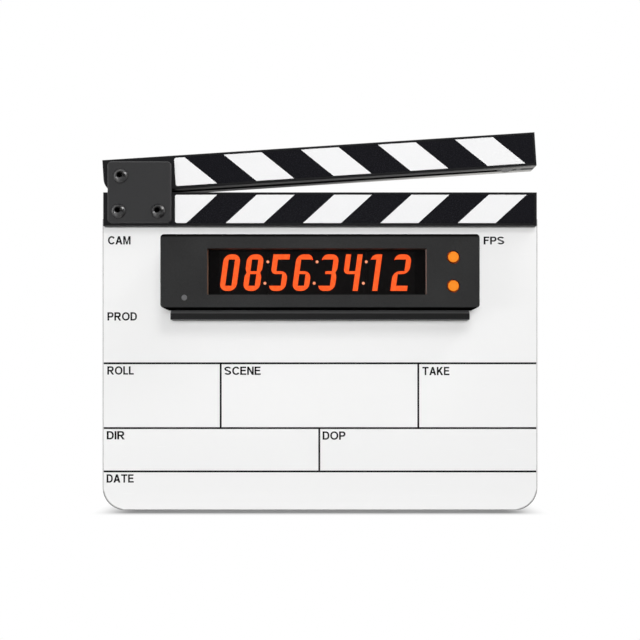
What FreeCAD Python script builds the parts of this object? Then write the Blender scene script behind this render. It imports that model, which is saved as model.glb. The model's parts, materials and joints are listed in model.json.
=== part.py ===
import FreeCAD, Part
import math
import os
from types import SimpleNamespace

import Sketcher
from FreeCAD import Placement, Rotation, Vector

# A timecode slate: an acrylic board, two striped clapper sticks and a display bar.
# X runs to the right, Y to the back and Z up; the origin is the middle of the board's bottom edge.

# Driving dimensions, in millimetres and degrees
sizes = {
    # Cuts run past the faces they open by this much
    "cut_overrun": 1.0,
    # Acrylic board and its tongue in the lower stick
    "board_width": 300.0,
    "board_thickness": 4.0,
    "board_face_height": 195.05,
    "board_corner_radius": 15.5,
    "board_edge_chamfer": 0.3,
    "board_tongue": 5.7,
    # Clapper sticks
    "stick_end_inset": 2.0,
    "stick_height": 22.8,
    "stick_depth": 14.0,
    "stick_edge_chamfer": 0.5,
    "groove_side_gap": 0.1,
    "groove_end_gap": 0.5,
    # Stripe plates in the front faces of the sticks
    "inlay_from_heel": 49.05,
    "inlay_from_tip": 1.9,
    "inlay_border": 1.65,
    "inlay_recess": 1.0,
    "inlay_thickness": 0.9,
    "inlay_gap": 0.1,
    "inlay_corner_radius": 1.5,
    # Pivot of the upper stick
    "rest_opening": 3.71,
    "pivot_from_heel": 12.9,
    "pivot_above_edge": 9.9,
    "closing_gap": 0.2,
    "heel_radius": 9.6,
    "heel_clearance": 0.4,
    "bush_diameter": 6.6,
    "bush_seat_gap": 0.05,
    "bush_running_gap": 0.05,
    "washer_thickness": 0.5,
    "washer_diameter": 12.0,
    # Hinge plates
    "plate_width": 43.2,
    "plate_height": 41.7,
    "plate_thickness": 2.5,
    "plate_corner_radius": 2.6,
    "plate_edge_bevel": 0.6,
    "plate_from_heel": 3.8,
    "plate_above_edge": 1.3,
    "plate_screw_from_heel": 11.5,
    "plate_screw_pitch": 26.8,
    "plate_screw_above_edge": 9.15,
    # Large button head screws and their lock nuts
    "hinge_screw_diameter": 5.0,
    "hinge_head_diameter": 9.5,
    "hinge_head_height": 2.75,
    "hinge_head_rim": 0.6,
    "hinge_hex_width": 3.2,
    "hinge_hex_depth": 1.6,
    "hinge_screw_past_nut": 0.8,
    "nut_width": 8.0,
    "nut_height": 3.8,
    "nut_collar_diameter": 7.2,
    "nut_collar_height": 1.2,
    "screw_hole_gap": 0.1,
    # Small button head screws seen from behind
    "rear_screw_diameter": 3.0,
    "rear_head_diameter": 5.7,
    "rear_head_height": 1.65,
    "rear_head_rim": 0.4,
    "rear_hex_width": 2.0,
    "rear_hex_depth": 1.0,
    "board_screw_from_heel": 62.0,
    "board_screw_from_tip": 31.0,
    "board_screw_above_edge": 3.0,
    "board_screw_bite": 2.4,
    "screw_end_gap": 0.3,
    # Magnets and groove insert at the tips
    "magnet_diameter": 8.0,
    "magnet_thickness": 3.0,
    "magnet_from_tip": 18.5,
    "magnet_setback": 0.1,
    "magnet_gap": 0.05,
    "insert_length": 25.3,
    "insert_side_gap": 0.05,
    "insert_screw_from_tip": 10.5,
    "insert_screw_diameter": 2.0,
    "insert_screw_head_diameter": 3.6,
    "insert_screw_length": 10.0,
    # Display bar housing
    "bar_below_stick": 9.1,
    "bar_left_margin": 31.05,
    "bar_right_margin": 35.05,
    "bar_top_margin": 9.55,
    "bar_bottom_margin": 8.6,
    "bar_corner_radius": 2.4,
    "housing_depth": 14.5,
    "housing_wall": 2.0,
    "housing_front_wall": 2.0,
    "housing_edge_radius": 1.0,
    "housing_inner_radius": 1.0,
    "cover_thickness": 2.0,
    "cover_edge_radius": 0.6,
    "rim_height": 1.2,
    "rim_width": 1.2,
    "rim_gap": 0.15,
    "boss_diameter": 5.0,
    "boss_wall_overlap": 0.2,
    "boss_from_side": 9.0,
    "boss_hole_depth": 5.5,
    "housing_screw_diameter": 2.5,
    "housing_screw_head_diameter": 4.7,
    "housing_screw_bite": 5.0,
    # Window and what is behind it
    "window_width": 144.6,
    "window_height": 30.5,
    "window_corner_radius": 0.8,
    "window_collar_wall": 1.2,
    "window_collar_depth": 2.5,
    "lens_side_overlap": 1.8,
    "lens_boss_gap": 0.4,
    "lens_thickness": 1.5,
    "module_side_margin": 6.9,
    "module_edge_margin": 0.95,
    "module_gap": 0.3,
    "module_thickness": 3.0,
    "module_setback": 0.3,
    "circuit_thickness": 1.6,
    "circuit_edge_gap": 1.5,
    "radio_width": 18.0,
    "radio_height": 13.0,
    "radio_thickness": 2.4,
    "radio_from_side": 23.0,
    "radio_above_middle": 12.0,
    "processor_width": 10.0,
    "processor_thickness": 1.2,
    "processor_below_middle": 11.0,
    "battery_width": 120.0,
    "battery_height": 30.0,
    "battery_thickness": 3.0,
    "battery_corner_radius": 2.0,
    "battery_edge_radius": 0.8,
    # Keys, plungers and switches
    "key_from_window": 17.5,
    "key_spacing": 19.0,
    "key_diameter": 7.4,
    "key_side_gap": 0.6,
    "key_proud": 0.4,
    "key_edge_radius": 0.4,
    "key_flange_diameter": 10.4,
    "key_flange_thickness": 1.2,
    "key_seat_gap": 0.05,
    "key_stem_diameter": 4.0,
    "key_travel": 0.6,
    "key_travel_spare": 0.2,
    "switch_width": 6.0,
    "switch_height": 3.2,
    "plunger_diameter": 3.4,
    "plunger_side_gap": 0.05,
    "plunger_length": 2.4,
    "plunger_seat_depth": 1.2,
    # Light pipe and sensor chip
    "light_pipe_from_side": 15.95,
    "light_pipe_from_bottom": 6.7,
    "light_pipe_diameter": 3.7,
    "light_pipe_gap": 0.05,
    "light_pipe_setback": 0.2,
    "light_pipe_flange_diameter": 5.2,
    "light_pipe_flange_thickness": 1.0,
    "light_pipe_stem_diameter": 3.0,
    "sensor_width": 3.0,
    "sensor_height": 1.2,
    "sensor_gap": 0.2,
    # Sockets in the left side wall
    "usb_above_middle": 9.0,
    "usb_width": 8.94,
    "usb_height": 3.26,
    "usb_length": 7.35,
    "usb_corner_radius": 1.5,
    "usb_shell": 0.3,
    "usb_floor": 1.0,
    "usb_tongue_width": 6.6,
    "usb_tongue_thickness": 0.7,
    "usb_tongue_setback": 1.2,
    "usb_wall_gap": 0.15,
    "jack_below_middle": 7.5,
    "jack_bore_diameter": 3.6,
    "jack_bore_depth": 13.5,
    "jack_nose_diameter": 6.0,
    "jack_body_length": 13.0,
    "jack_body_width": 6.4,
    "jack_body_height": 5.6,
    "jack_wall_gap": 0.1,
    "socket_setback": 0.1,
    # Holder rail with its ledge, and the screws through the board
    "ledge_end_inset": 4.2,
    "holder_height": 44.0,
    "holder_thickness": 3.0,
    "ledge_depth": 8.5,
    "ledge_height": 6.65,
    "ledge_bevel": 2.6,
    "holder_screw_from_side": 11.0,
    "holder_screw_low": 5.0,
    "holder_screw_high": 38.0,
    "holder_screw_bite": 2.4,
    "display_screw_from_side": 20.7,
    "display_boss_diameter": 8.0,
    "display_boss_gap": 0.3,
    "display_insert_diameter": 4.6,
    "display_insert_setback": 0.3,
    "display_insert_gap": 0.05,
}

doc = FreeCAD.newDocument("TimecodeSlate")
sheet = doc.addObject("Spreadsheet::Sheet", "Sizes")


class Length:
    """A size as text for the sheet's expressions, with its present value."""

    def __init__(self, text, value):
        self.text = text
        self.value = value

    def __add__(self, other):
        other = length(other)
        return Length(f"({self.text} + {other.text})", self.value + other.value)

    def __sub__(self, other):
        other = length(other)
        return Length(f"({self.text} - {other.text})", self.value - other.value)

    def __mul__(self, factor):
        return Length(f"({self.text} * {factor!r})", self.value * factor)

    def __truediv__(self, divisor):
        return Length(f"({self.text} / {divisor!r})", self.value / divisor)

    def __neg__(self):
        return Length(f"(0 - {self.text})", -self.value)


def length(item):
    """A Length as it is, or a plain zero as a Length."""
    if isinstance(item, Length):
        return item
    return Length(repr(item), item)


def hypotenuse(first, second):
    """The long side of a right triangle."""
    text = f"sqrt({first.text} * {first.text} + {second.text} * {second.text})"
    return Length(text, math.hypot(first.value, second.value))


mm = SimpleNamespace()
for row, (alias, value) in enumerate(sizes.items(), start=1):
    sheet.set(f"A{row}", alias)
    sheet.set(f"B{row}", str(value))
    sheet.setAlias(f"B{row}", alias)
    setattr(mm, alias, Length(f"Sizes.{alias}", value))
doc.recompute()

# Sketch planes by the view they show, with the sense of the plane's normal along its axis
planes = {"front": ("XZ_Plane", -1), "side": ("YZ_Plane", 1), "top": ("XY_Plane", 1)}

# Turns that point a piece's own Z axis the way it faces
faces_front = Rotation(Vector(1, 0, 0), 90)
faces_back = Rotation(Vector(1, 0, 0), -90)
faces_down = Rotation(Vector(1, 0, 0), 180)
upright = Rotation()

nodes = []


def node(item):
    """Hand a finished piece in as a sub-part."""
    nodes.append(item)
    return item


def new_body(label):
    body = doc.addObject("PartDesign::Body", label)
    body.Label = label
    return body


def new_sketch(body, view, level):
    """A sketch on one of the body's own planes, set off to a level along that view's axis."""
    role, sense = planes[view]
    sketch = body.newObject("Sketcher::SketchObject", f"{body.Name}_{view}")
    plane = next(item for item in body.Origin.OriginFeatures if item.Role == role)
    sketch.AttachmentSupport = [(plane, "")]
    sketch.MapMode = "FlatFace"
    sketch.setExpression("AttachmentOffset.Base.z", (length(level) * sense).text)
    return sketch


def dimension(sketch, constraint, target):
    """A sketch dimension tied to the sheet."""
    number = sketch.addConstraint(constraint)
    name = f"size_{number}"
    sketch.renameConstraint(number, name)
    sketch.setExpression(f"Constraints.{name}", target.text)


def fix_point(sketch, geometry, vertex, across, up):
    """Hold a point of the sketch at its two coordinates."""
    for kind, target in (("DistanceX", length(across)), ("DistanceY", length(up))):
        dimension(sketch, Sketcher.Constraint(kind, -1, 1, geometry, vertex, target.value), target)


def polygon(sketch, points):
    """A closed outline of straight lines through the given points."""
    spots = [Vector(length(across).value, length(up).value, 0) for across, up in points]
    lines = [
        sketch.addGeometry(Part.LineSegment(spot, spots[(index + 1) % len(spots)]))
        for index, spot in enumerate(spots)
    ]
    for index, line in enumerate(lines):
        following = lines[(index + 1) % len(lines)]
        sketch.addConstraint(Sketcher.Constraint("Coincident", line, 2, following, 1))
    for line, (across, up) in zip(lines, points):
        fix_point(sketch, line, 1, across, up)


def rectangle(sketch, left, bottom, right, top):
    polygon(sketch, [(left, bottom), (right, bottom), (right, top), (left, top)])


def rounded_rectangle(sketch, left, bottom, right, top, radius):
    """A rectangle with four equal round corners, its arcs tangent to its sides."""
    centres = [
        (left + radius, bottom + radius),
        (right - radius, bottom + radius),
        (right - radius, top - radius),
        (left + radius, top - radius),
    ]
    arcs = []
    for quarter, (across, up) in enumerate(centres):
        circle = Part.Circle(Vector(across.value, up.value, 0), Vector(0, 0, 1), radius.value)
        start = math.pi + quarter * math.pi / 2
        arc = sketch.addGeometry(Part.ArcOfCircle(circle, start, start + math.pi / 2))
        fix_point(sketch, arc, 3, across, up)
        dimension(sketch, Sketcher.Constraint("Radius", arc, radius.value), radius)
        arcs.append(arc)
    for index, arc in enumerate(arcs):
        following = arcs[(index + 1) % len(arcs)]
        start = sketch.Geometry[arc].EndPoint
        finish = sketch.Geometry[following].StartPoint
        line = sketch.addGeometry(Part.LineSegment(start, finish))
        sketch.addConstraint(Sketcher.Constraint("Tangent", arc, 2, line, 1))
        sketch.addConstraint(Sketcher.Constraint("Tangent", line, 2, following, 1))


def circle(sketch, across, up, diameter):
    across, up = length(across), length(up)
    ring = Part.Circle(Vector(across.value, up.value, 0), Vector(0, 0, 1), diameter.value / 2)
    number = sketch.addGeometry(ring)
    fix_point(sketch, number, 3, across, up)
    dimension(sketch, Sketcher.Constraint("Diameter", number, diameter.value), diameter)


def hexagon(sketch, width):
    """A hexagon about the origin, given across its flats."""
    corner = width / math.sqrt(3)
    upper = [(width / 2, -corner / 2), (width / 2, corner / 2), (0, corner)]
    lower = [(-width / 2, corner / 2), (-width / 2, -corner / 2), (0, -corner)]
    polygon(sketch, upper + lower)


def pad(body, sketch, depth):
    """Grow the sketch along its normal."""
    feature = body.newObject("PartDesign::Pad", f"{sketch.Name}_pad")
    feature.Profile = sketch
    feature.setExpression("Length", depth.text)
    doc.recompute()


def cut(body, sketch, depth=None, along_normal=False):
    """Cut the sketch into the body, or right through it both ways where no depth is given."""
    before = body.Shape.Volume
    feature = body.newObject("PartDesign::Pocket", f"{sketch.Name}_cut")
    feature.Profile = sketch
    if depth is None:
        feature.Type = "ThroughAll"
        feature.Midplane = True
    else:
        feature.setExpression("Length", depth.text)
        feature.Reversed = along_normal
    doc.recompute()
    if not feature.Shape.Volume < before:
        raise RuntimeError(f"{body.Label}: {feature.Label} cuts nothing")


def dress(body, kind, test, amount):
    """A fillet or chamfer on the edges of the body's last feature that pass the test."""
    base = body.Tip
    chosen = [f"Edge{i}" for i, edge in enumerate(base.Shape.Edges, start=1) if test(edge)]
    feature = body.newObject(f"PartDesign::{kind}", f"{body.Name}_{kind.lower()}")
    feature.Base = (base, chosen)
    feature.setExpression("Radius" if kind == "Fillet" else "Size", amount.text)
    doc.recompute()


def near(first, second):
    """Whether two coordinates are the same, within the modeller's tolerance."""
    return math.isclose(first, length(second).value, abs_tol=1e-5)


def on_level(axis, *levels):
    """A test for edges that lie flat on any of the given levels of an axis."""

    def test(edge):
        box = edge.BoundBox
        low, high = getattr(box, f"{axis}Min"), getattr(box, f"{axis}Max")
        return any(near(low, level) and near(high, level) for level in levels)

    return test


def at_place(x, z):
    """A test for the edge that runs from front to back at one place."""

    def test(edge):
        box = edge.BoundBox
        straight = near(box.XMin, x) and near(box.XMax, x)
        return straight and near(box.ZMin, z) and near(box.ZMax, z)

    return test


def ring_of(radius, axis, level):
    """A test for round edges of one radius on one level of an axis."""
    flat = on_level(axis, level)

    def test(edge):
        return flat(edge) and hasattr(edge.Curve, "Radius") and near(edge.Curve.Radius, radius)

    return test


def turned(label, profile):
    """A piece of revolution about its own Z axis, from a profile of radius and height."""
    body = new_body(label)
    sketch = new_sketch(body, "front", 0)
    polygon(sketch, profile)
    feature = body.newObject("PartDesign::Revolution", f"{label}_turn")
    feature.Profile = sketch
    feature.ReferenceAxis = (sketch, ["V_Axis"])
    feature.Angle = 360
    doc.recompute()
    return body


def put(item, x, y, z, turn):
    """Place a piece, its position tied to the sheet."""
    item.Placement = Placement(Vector(), turn)
    for axis, target in zip("xyz", (x, y, z)):
        item.setExpression(f"Placement.Base.{axis}", length(target).text)
    return item


def group(label, master, places, turn):
    """Copies of one piece, each a solid of its own, as one sub-part."""
    copies = []
    for number, (x, y, z) in enumerate(places, start=1):
        copy = doc.addObject("App::Link", f"{label}_{number}")
        copy.LinkedObject = master
        copies.append(put(copy, x, y, z, turn))
    compound = doc.addObject("Part::Compound", label)
    compound.Label = label
    compound.Links = copies
    return node(compound)


def button_head_screw(label, diameter, under_head, head_diameter, head_height, rim, hex_width, hex_depth):
    """A domed screw with a hexagon socket, its head seated on its own zero level."""
    screw = turned(label, [
        (0, -under_head),
        (diameter / 2, -under_head),
        (diameter / 2, 0),
        (head_diameter / 2, 0),
        (head_diameter / 2, head_height),
        (0, head_height),
    ])
    dress(screw, "Fillet", ring_of(head_diameter / 2, "Z", head_height), head_height - rim)
    socket = new_sketch(screw, "top", head_height)
    hexagon(socket, hex_width)
    cut(screw, socket, hex_depth)
    return screw


def countersunk_screw(label, diameter, head_diameter, reach):
    """A screw with a flush conical head, its top on its own zero level."""
    cone = (head_diameter - diameter) / 2
    return turned(label, [
        (0, -reach),
        (diameter / 2, -reach),
        (diameter / 2, -cone),
        (head_diameter / 2, 0),
        (0, 0),
    ])


# Levels and places that several pieces share
board_front = -mm.board_thickness / 2
board_back = mm.board_thickness / 2
stick_length = mm.board_width - mm.stick_end_inset * 2
stick_left = -stick_length / 2
stick_right = stick_length / 2
stick_bottom = mm.board_face_height
stick_top = stick_bottom + mm.stick_height
stick_front = -mm.stick_depth / 2
stick_back = mm.stick_depth / 2
groove_width = mm.board_thickness + mm.groove_side_gap * 2
groove_depth = mm.board_tongue + mm.groove_end_gap
pivot_x = stick_left + mm.pivot_from_heel
pivot_z = stick_top + mm.closing_gap + mm.pivot_above_edge
heel_reach = mm.heel_radius + hypotenuse(
    mm.pivot_from_heel - mm.heel_radius, mm.pivot_above_edge - mm.heel_radius
)
plate_front = stick_front - mm.plate_thickness
plate_back = stick_back + mm.plate_thickness
plate_screw_z = stick_bottom + mm.plate_screw_above_edge
plate_screw_left = stick_left + mm.plate_screw_from_heel
plate_screw_xs = [plate_screw_left, plate_screw_left + mm.plate_screw_pitch]
hinge_hole = mm.hinge_screw_diameter + mm.screw_hole_gap * 2
rear_hole = mm.rear_screw_diameter + mm.screw_hole_gap * 2
board_screw_z = stick_bottom + mm.board_screw_above_edge
board_screw_span = stick_length - mm.board_screw_from_heel - mm.board_screw_from_tip
board_screw_xs = [
    stick_left + mm.board_screw_from_heel + board_screw_span * step / 3 for step in range(4)
]
board_screw_tip = board_front - mm.groove_side_gap - mm.board_screw_bite

bar_side = (mm.bar_left_margin + mm.window_width + mm.bar_right_margin) / 2
bar_height = mm.bar_bottom_margin + mm.window_height + mm.bar_top_margin
bar_top = stick_bottom - mm.bar_below_stick
bar_bottom = bar_top - bar_height
bar_middle_z = bar_bottom + bar_height / 2
holder_front = board_front - mm.holder_thickness
holder_bottom = bar_bottom - mm.ledge_height
holder_side = bar_side - mm.ledge_end_inset
holder_screw_x = holder_side - mm.holder_screw_from_side
holder_screw_places = [
    (side, bar_bottom + height)
    for side in (-holder_screw_x, holder_screw_x)
    for height in (mm.holder_screw_low, mm.holder_screw_high)
]
cover_front = holder_front - mm.cover_thickness
housing_front = cover_front - mm.housing_depth
wall_inside = housing_front + mm.housing_front_wall
display_screw_x = bar_side - mm.display_screw_from_side
display_screw_xs = [-display_screw_x, display_screw_x]

lens_front = wall_inside + mm.window_collar_depth
lens_back = lens_front + mm.lens_thickness
circuit_front = lens_back + mm.module_setback + mm.module_thickness
circuit_back = circuit_front + mm.circuit_thickness
window_left = mm.bar_left_margin - bar_side
window_right = window_left + mm.window_width
window_bottom = bar_bottom + mm.bar_bottom_margin
window_top = window_bottom + mm.window_height
window_middle_x = window_left + mm.window_width / 2
window_middle_z = window_bottom + mm.window_height / 2
key_x = window_right + mm.key_from_window
upper_key_z = window_middle_z + mm.key_spacing / 2
lower_key_z = window_middle_z - mm.key_spacing / 2
light_pipe_x = mm.light_pipe_from_side - bar_side
light_pipe_z = bar_bottom + mm.light_pipe_from_bottom
usb_z = bar_middle_z + mm.usb_above_middle
jack_z = bar_middle_z - mm.jack_below_middle
boss_from_edge = mm.housing_wall + mm.boss_diameter / 2 - mm.boss_wall_overlap
boss_x = bar_side - mm.boss_from_side
boss_places = [
    (across, up)
    for across in (-boss_x, length(0), boss_x)
    for up in (bar_bottom + boss_from_edge, bar_top - boss_from_edge)
]
housing_screw_hole = mm.housing_screw_diameter + mm.screw_hole_gap * 2


def bar_outline(sketch, inset, radius):
    """The bar's rounded front outline, drawn in from its edge by an inset."""
    rounded_rectangle(
        sketch, inset - bar_side, bar_bottom + inset, bar_side - inset, bar_top - inset, radius
    )


# White board with two round lower corners
board = node(new_body("slate_board"))
outline = new_sketch(board, "front", board_back)
rectangle(outline, -mm.board_width / 2, 0, mm.board_width / 2, stick_bottom + mm.board_tongue)
pad(board, outline, mm.board_thickness)
for corner_x in (-mm.board_width / 2, mm.board_width / 2):
    dress(board, "Fillet", at_place(corner_x, 0), mm.board_corner_radius)
dress(board, "Chamfer", on_level("Y", board_front, board_back), mm.board_edge_chamfer)
holes = new_sketch(board, "front", 0)
for x in board_screw_xs:
    circle(holes, x, board_screw_z, rear_hole)
for x, z in holder_screw_places:
    circle(holes, x, z, rear_hole)
for x in display_screw_xs:
    circle(holes, x, bar_middle_z, rear_hole)
cut(board, holes)


def stick_blank(label, left, bottom, front, back):
    """The plain bar that a clapper stick is cut from."""
    body = node(new_body(label))
    blank = new_sketch(body, "front", back)
    rectangle(blank, left, bottom, left + stick_length, bottom + mm.stick_height)
    pad(body, blank, back - front)
    return body


def inlay_outline(sketch, left, bottom, inset):
    """The stripe recess on a stick's face, or the plate in it, smaller by its gap."""
    rounded_rectangle(
        sketch,
        left + mm.inlay_from_heel + inset,
        bottom + mm.inlay_border + inset,
        left + stick_length - mm.inlay_from_tip - inset,
        bottom + mm.stick_height - mm.inlay_border - inset,
        mm.inlay_corner_radius - inset,
    )


def finish_stick(body, left, bottom, front, back):
    """Chamfers round both faces, the groove along the lower edge and the recess for the stripes."""
    dress(body, "Chamfer", on_level("Y", front, back), mm.stick_edge_chamfer)
    groove = new_sketch(body, "side", left)
    rectangle(groove, -groove_width / 2, bottom - mm.cut_overrun, groove_width / 2, bottom + groove_depth)
    cut(body, groove)
    recess = new_sketch(body, "front", front)
    inlay_outline(recess, left, bottom, length(0))
    cut(body, recess, mm.inlay_recess)


def stripe_inlay(label, left, bottom, front):
    """The thin stripe plate on the floor of its recess."""
    body = node(new_body(label))
    sketch = new_sketch(body, "front", front + mm.inlay_recess)
    inlay_outline(sketch, left, bottom, mm.inlay_gap)
    pad(body, sketch, mm.inlay_thickness)
    return body


# Lower stick, scooped out under the heel of the upper one
lower = stick_blank("lower_stick", stick_left, stick_bottom, stick_front, stick_back)
finish_stick(lower, stick_left, stick_bottom, stick_front, stick_back)
scoop = new_sketch(lower, "front", 0)
circle(scoop, pivot_x, pivot_z, (heel_reach + mm.heel_clearance) * 2)
cut(lower, scoop)
holes = new_sketch(lower, "front", 0)
for x in plate_screw_xs:
    circle(holes, x, plate_screw_z, hinge_hole)
cut(lower, holes)
blind_holes = new_sketch(lower, "front", stick_back)
for x in board_screw_xs:
    circle(blind_holes, x, board_screw_z, rear_hole)
cut(lower, blind_holes, stick_back - board_screw_tip + mm.screw_end_gap, along_normal=True)
magnet_x = stick_right - mm.magnet_from_tip
magnet_seat = mm.magnet_thickness + mm.magnet_setback
pocket = new_sketch(lower, "top", stick_top)
circle(pocket, magnet_x, 0, mm.magnet_diameter + mm.magnet_gap * 2)
cut(lower, pocket, magnet_seat)
stripe_inlay("lower_stripe_inlay", stick_left, stick_bottom, stick_front)


def magnet(label):
    """A disc magnet on its own zero level."""
    disc = node(doc.addObject("Part::Cylinder", label))
    disc.Label = label
    disc.setExpression("Radius", (mm.magnet_diameter / 2).text)
    disc.setExpression("Height", mm.magnet_thickness.text)
    return disc


put(magnet("lower_magnet"), magnet_x, 0, stick_top - magnet_seat, upright)


def hang_on_pivot(body):
    """Set a piece drawn about the pivot, sticks shut, at the opening where it rests."""
    put(body, pivot_x, 0, pivot_z, Rotation(Vector(0, -1, 0), mm.rest_opening.value))
    body.setExpression("Placement.Rotation.Angle", mm.rest_opening.text)
    return body


# Upper stick, drawn about the pivot
upper_left = -mm.pivot_from_heel
upper_bottom = -mm.pivot_above_edge
upper_tip = upper_left + stick_length
upper_front = stick_front + mm.washer_thickness
upper_back = stick_back - mm.washer_thickness
upper = hang_on_pivot(stick_blank("upper_stick", upper_left, upper_bottom, upper_front, upper_back))
dress(upper, "Fillet", at_place(upper_left, upper_bottom), mm.heel_radius)
finish_stick(upper, upper_left, upper_bottom, upper_front, upper_back)
bush_hole = new_sketch(upper, "front", 0)
circle(bush_hole, 0, 0, mm.bush_diameter + mm.bush_seat_gap * 2)
cut(upper, bush_hole)
pocket = new_sketch(upper, "top", upper_bottom)
circle(pocket, upper_tip - mm.magnet_from_tip, 0, mm.magnet_diameter + mm.magnet_gap * 2)
cut(upper, pocket, magnet_seat, along_normal=True)
insert_screw_hole = mm.insert_screw_diameter + mm.insert_side_gap * 2
screw_hole = new_sketch(upper, "top", upper_bottom)
circle(screw_hole, upper_tip - mm.insert_screw_from_tip, 0, insert_screw_hole)
cut(upper, screw_hole, mm.insert_screw_length + mm.screw_end_gap, along_normal=True)
hang_on_pivot(stripe_inlay("upper_stripe_inlay", upper_left, upper_bottom, upper_front))

# Block that closes the groove at the tip, with the magnet let into it
insert = hang_on_pivot(node(new_body("groove_insert")))
block = new_sketch(insert, "top", upper_bottom)
insert_half = groove_width / 2 - mm.insert_side_gap
rectangle(block, upper_tip - mm.insert_length, -insert_half, upper_tip, insert_half)
pad(insert, block, groove_depth)
pocket = new_sketch(insert, "top", upper_bottom)
circle(pocket, upper_tip - mm.magnet_from_tip, 0, mm.magnet_diameter + mm.magnet_gap * 2)
cut(insert, pocket, magnet_seat, along_normal=True)
screw_hole = new_sketch(insert, "top", upper_bottom)
circle(screw_hole, upper_tip - mm.insert_screw_from_tip, 0, insert_screw_hole)
cut(insert, screw_hole)
insert_sink = (mm.insert_screw_head_diameter - mm.insert_screw_diameter) / 2
dress(insert, "Chamfer", ring_of(insert_screw_hole / 2, "Z", upper_bottom), insert_sink)


def hang_by_offset(item, along, below, turn):
    """Set a piece with a frame of its own on the upper stick, at a place measured from the pivot."""
    opening = mm.rest_opening.text
    across = f"{along.text} * cos({opening} * 1 deg) - {below.text} * sin({opening} * 1 deg)"
    up = f"{along.text} * sin({opening} * 1 deg) + {below.text} * cos({opening} * 1 deg)"
    item.Placement = Placement(Vector(), Rotation(Vector(0, -1, 0), mm.rest_opening.value) * turn)
    item.setExpression("Placement.Base.x", f"{pivot_x.text} + {across}")
    item.setExpression("Placement.Base.z", f"{pivot_z.text} + {up}")
    return item


screw = node(countersunk_screw(
    "groove_insert_screw", mm.insert_screw_diameter, mm.insert_screw_head_diameter, mm.insert_screw_length
))
hang_by_offset(screw, upper_tip - mm.insert_screw_from_tip, upper_bottom, faces_down)
upper_magnet = magnet("upper_magnet")
hang_by_offset(upper_magnet, upper_tip - mm.magnet_from_tip, upper_bottom + mm.magnet_setback, upright)

# Pivot: bush in the stick, screw, washers and lock nut
bush_bore = mm.hinge_screw_diameter / 2 + mm.bush_running_gap
bush = node(turned("pivot_bush", [
    (bush_bore, upper_front),
    (mm.bush_diameter / 2, upper_front),
    (mm.bush_diameter / 2, upper_back),
    (bush_bore, upper_back),
]))
put(bush, pivot_x, 0, pivot_z, faces_front)
washer = turned("pivot_washer", [
    (hinge_hole / 2, 0),
    (mm.washer_diameter / 2, 0),
    (mm.washer_diameter / 2, mm.washer_thickness),
    (hinge_hole / 2, mm.washer_thickness),
])
washer_levels = (upper_front, stick_back)
group("pivot_washers", washer, [(pivot_x, level, pivot_z) for level in washer_levels], faces_front)


def hinge_plate(label, back, outer):
    """A square plate over both sticks, bevelled round its outer face."""
    body = node(new_body(label))
    left = stick_left + mm.plate_from_heel
    bottom = stick_bottom + mm.plate_above_edge
    sketch = new_sketch(body, "front", back)
    right = left + mm.plate_width
    rounded_rectangle(sketch, left, bottom, right, bottom + mm.plate_height, mm.plate_corner_radius)
    pad(body, sketch, mm.plate_thickness)
    dress(body, "Chamfer", on_level("Y", outer), mm.plate_edge_bevel)
    bores = new_sketch(body, "front", 0)
    circle(bores, pivot_x, pivot_z, hinge_hole)
    for x in plate_screw_xs:
        circle(bores, x, plate_screw_z, hinge_hole)
    cut(body, bores)


hinge_plate("hinge_front_plate", stick_front, plate_front)
hinge_plate("hinge_rear_plate", plate_back, plate_back)

hinge_screw = button_head_screw(
    "hinge_screw",
    mm.hinge_screw_diameter,
    plate_back - plate_front + mm.nut_height + mm.nut_collar_height + mm.hinge_screw_past_nut,
    mm.hinge_head_diameter,
    mm.hinge_head_height,
    mm.hinge_head_rim,
    mm.hinge_hex_width,
    mm.hinge_hex_depth,
)
lock_nut = new_body("lock_nut")
flats = new_sketch(lock_nut, "top", 0)
hexagon(flats, mm.nut_width)
pad(lock_nut, flats, mm.nut_height)
collar = new_sketch(lock_nut, "top", mm.nut_height)
circle(collar, 0, 0, mm.nut_collar_diameter)
pad(lock_nut, collar, mm.nut_collar_height)
bore = new_sketch(lock_nut, "top", 0)
circle(bore, 0, 0, hinge_hole)
cut(lock_nut, bore)
pivot_place = [(pivot_x, plate_front, pivot_z)]
group("pivot_screw", hinge_screw, pivot_place, faces_front)
group("pivot_nut", lock_nut, [(pivot_x, plate_back, pivot_z)], faces_back)
group("plate_screws", hinge_screw, [(x, plate_front, plate_screw_z) for x in plate_screw_xs], faces_front)
group("plate_nuts", lock_nut, [(x, plate_back, plate_screw_z) for x in plate_screw_xs], faces_back)


def rear_screw(label, reach):
    """A small button head screw driven from behind."""
    return button_head_screw(
        label,
        mm.rear_screw_diameter,
        reach,
        mm.rear_head_diameter,
        mm.rear_head_height,
        mm.rear_head_rim,
        mm.rear_hex_width,
        mm.rear_hex_depth,
    )


board_screw = rear_screw("board_screw", stick_back - board_screw_tip)
group("board_screws", board_screw, [(x, stick_back, board_screw_z) for x in board_screw_xs], faces_back)

# Holder rail behind the bar, its ledge carrying the bar from below
holder = node(new_body("display_holder"))
profile = new_sketch(holder, "side", -holder_side)
ledge_front = board_front - mm.ledge_depth
polygon(profile, [
    (board_front, holder_bottom),
    (ledge_front, holder_bottom),
    (ledge_front, bar_bottom - mm.ledge_bevel),
    (ledge_front + mm.ledge_bevel, bar_bottom),
    (holder_front, bar_bottom),
    (holder_front, bar_bottom + mm.holder_height),
    (board_front, bar_bottom + mm.holder_height),
])
pad(holder, profile, holder_side * 2)
tapped = new_sketch(holder, "front", board_front)
for x, z in holder_screw_places:
    circle(tapped, x, z, rear_hole)
cut(holder, tapped, mm.holder_screw_bite + mm.screw_end_gap, along_normal=True)
passing = new_sketch(holder, "front", 0)
for x in display_screw_xs:
    circle(passing, x, bar_middle_z, rear_hole)
cut(holder, passing)
holder_screw = rear_screw("holder_screw", mm.board_thickness + mm.holder_screw_bite)
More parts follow.
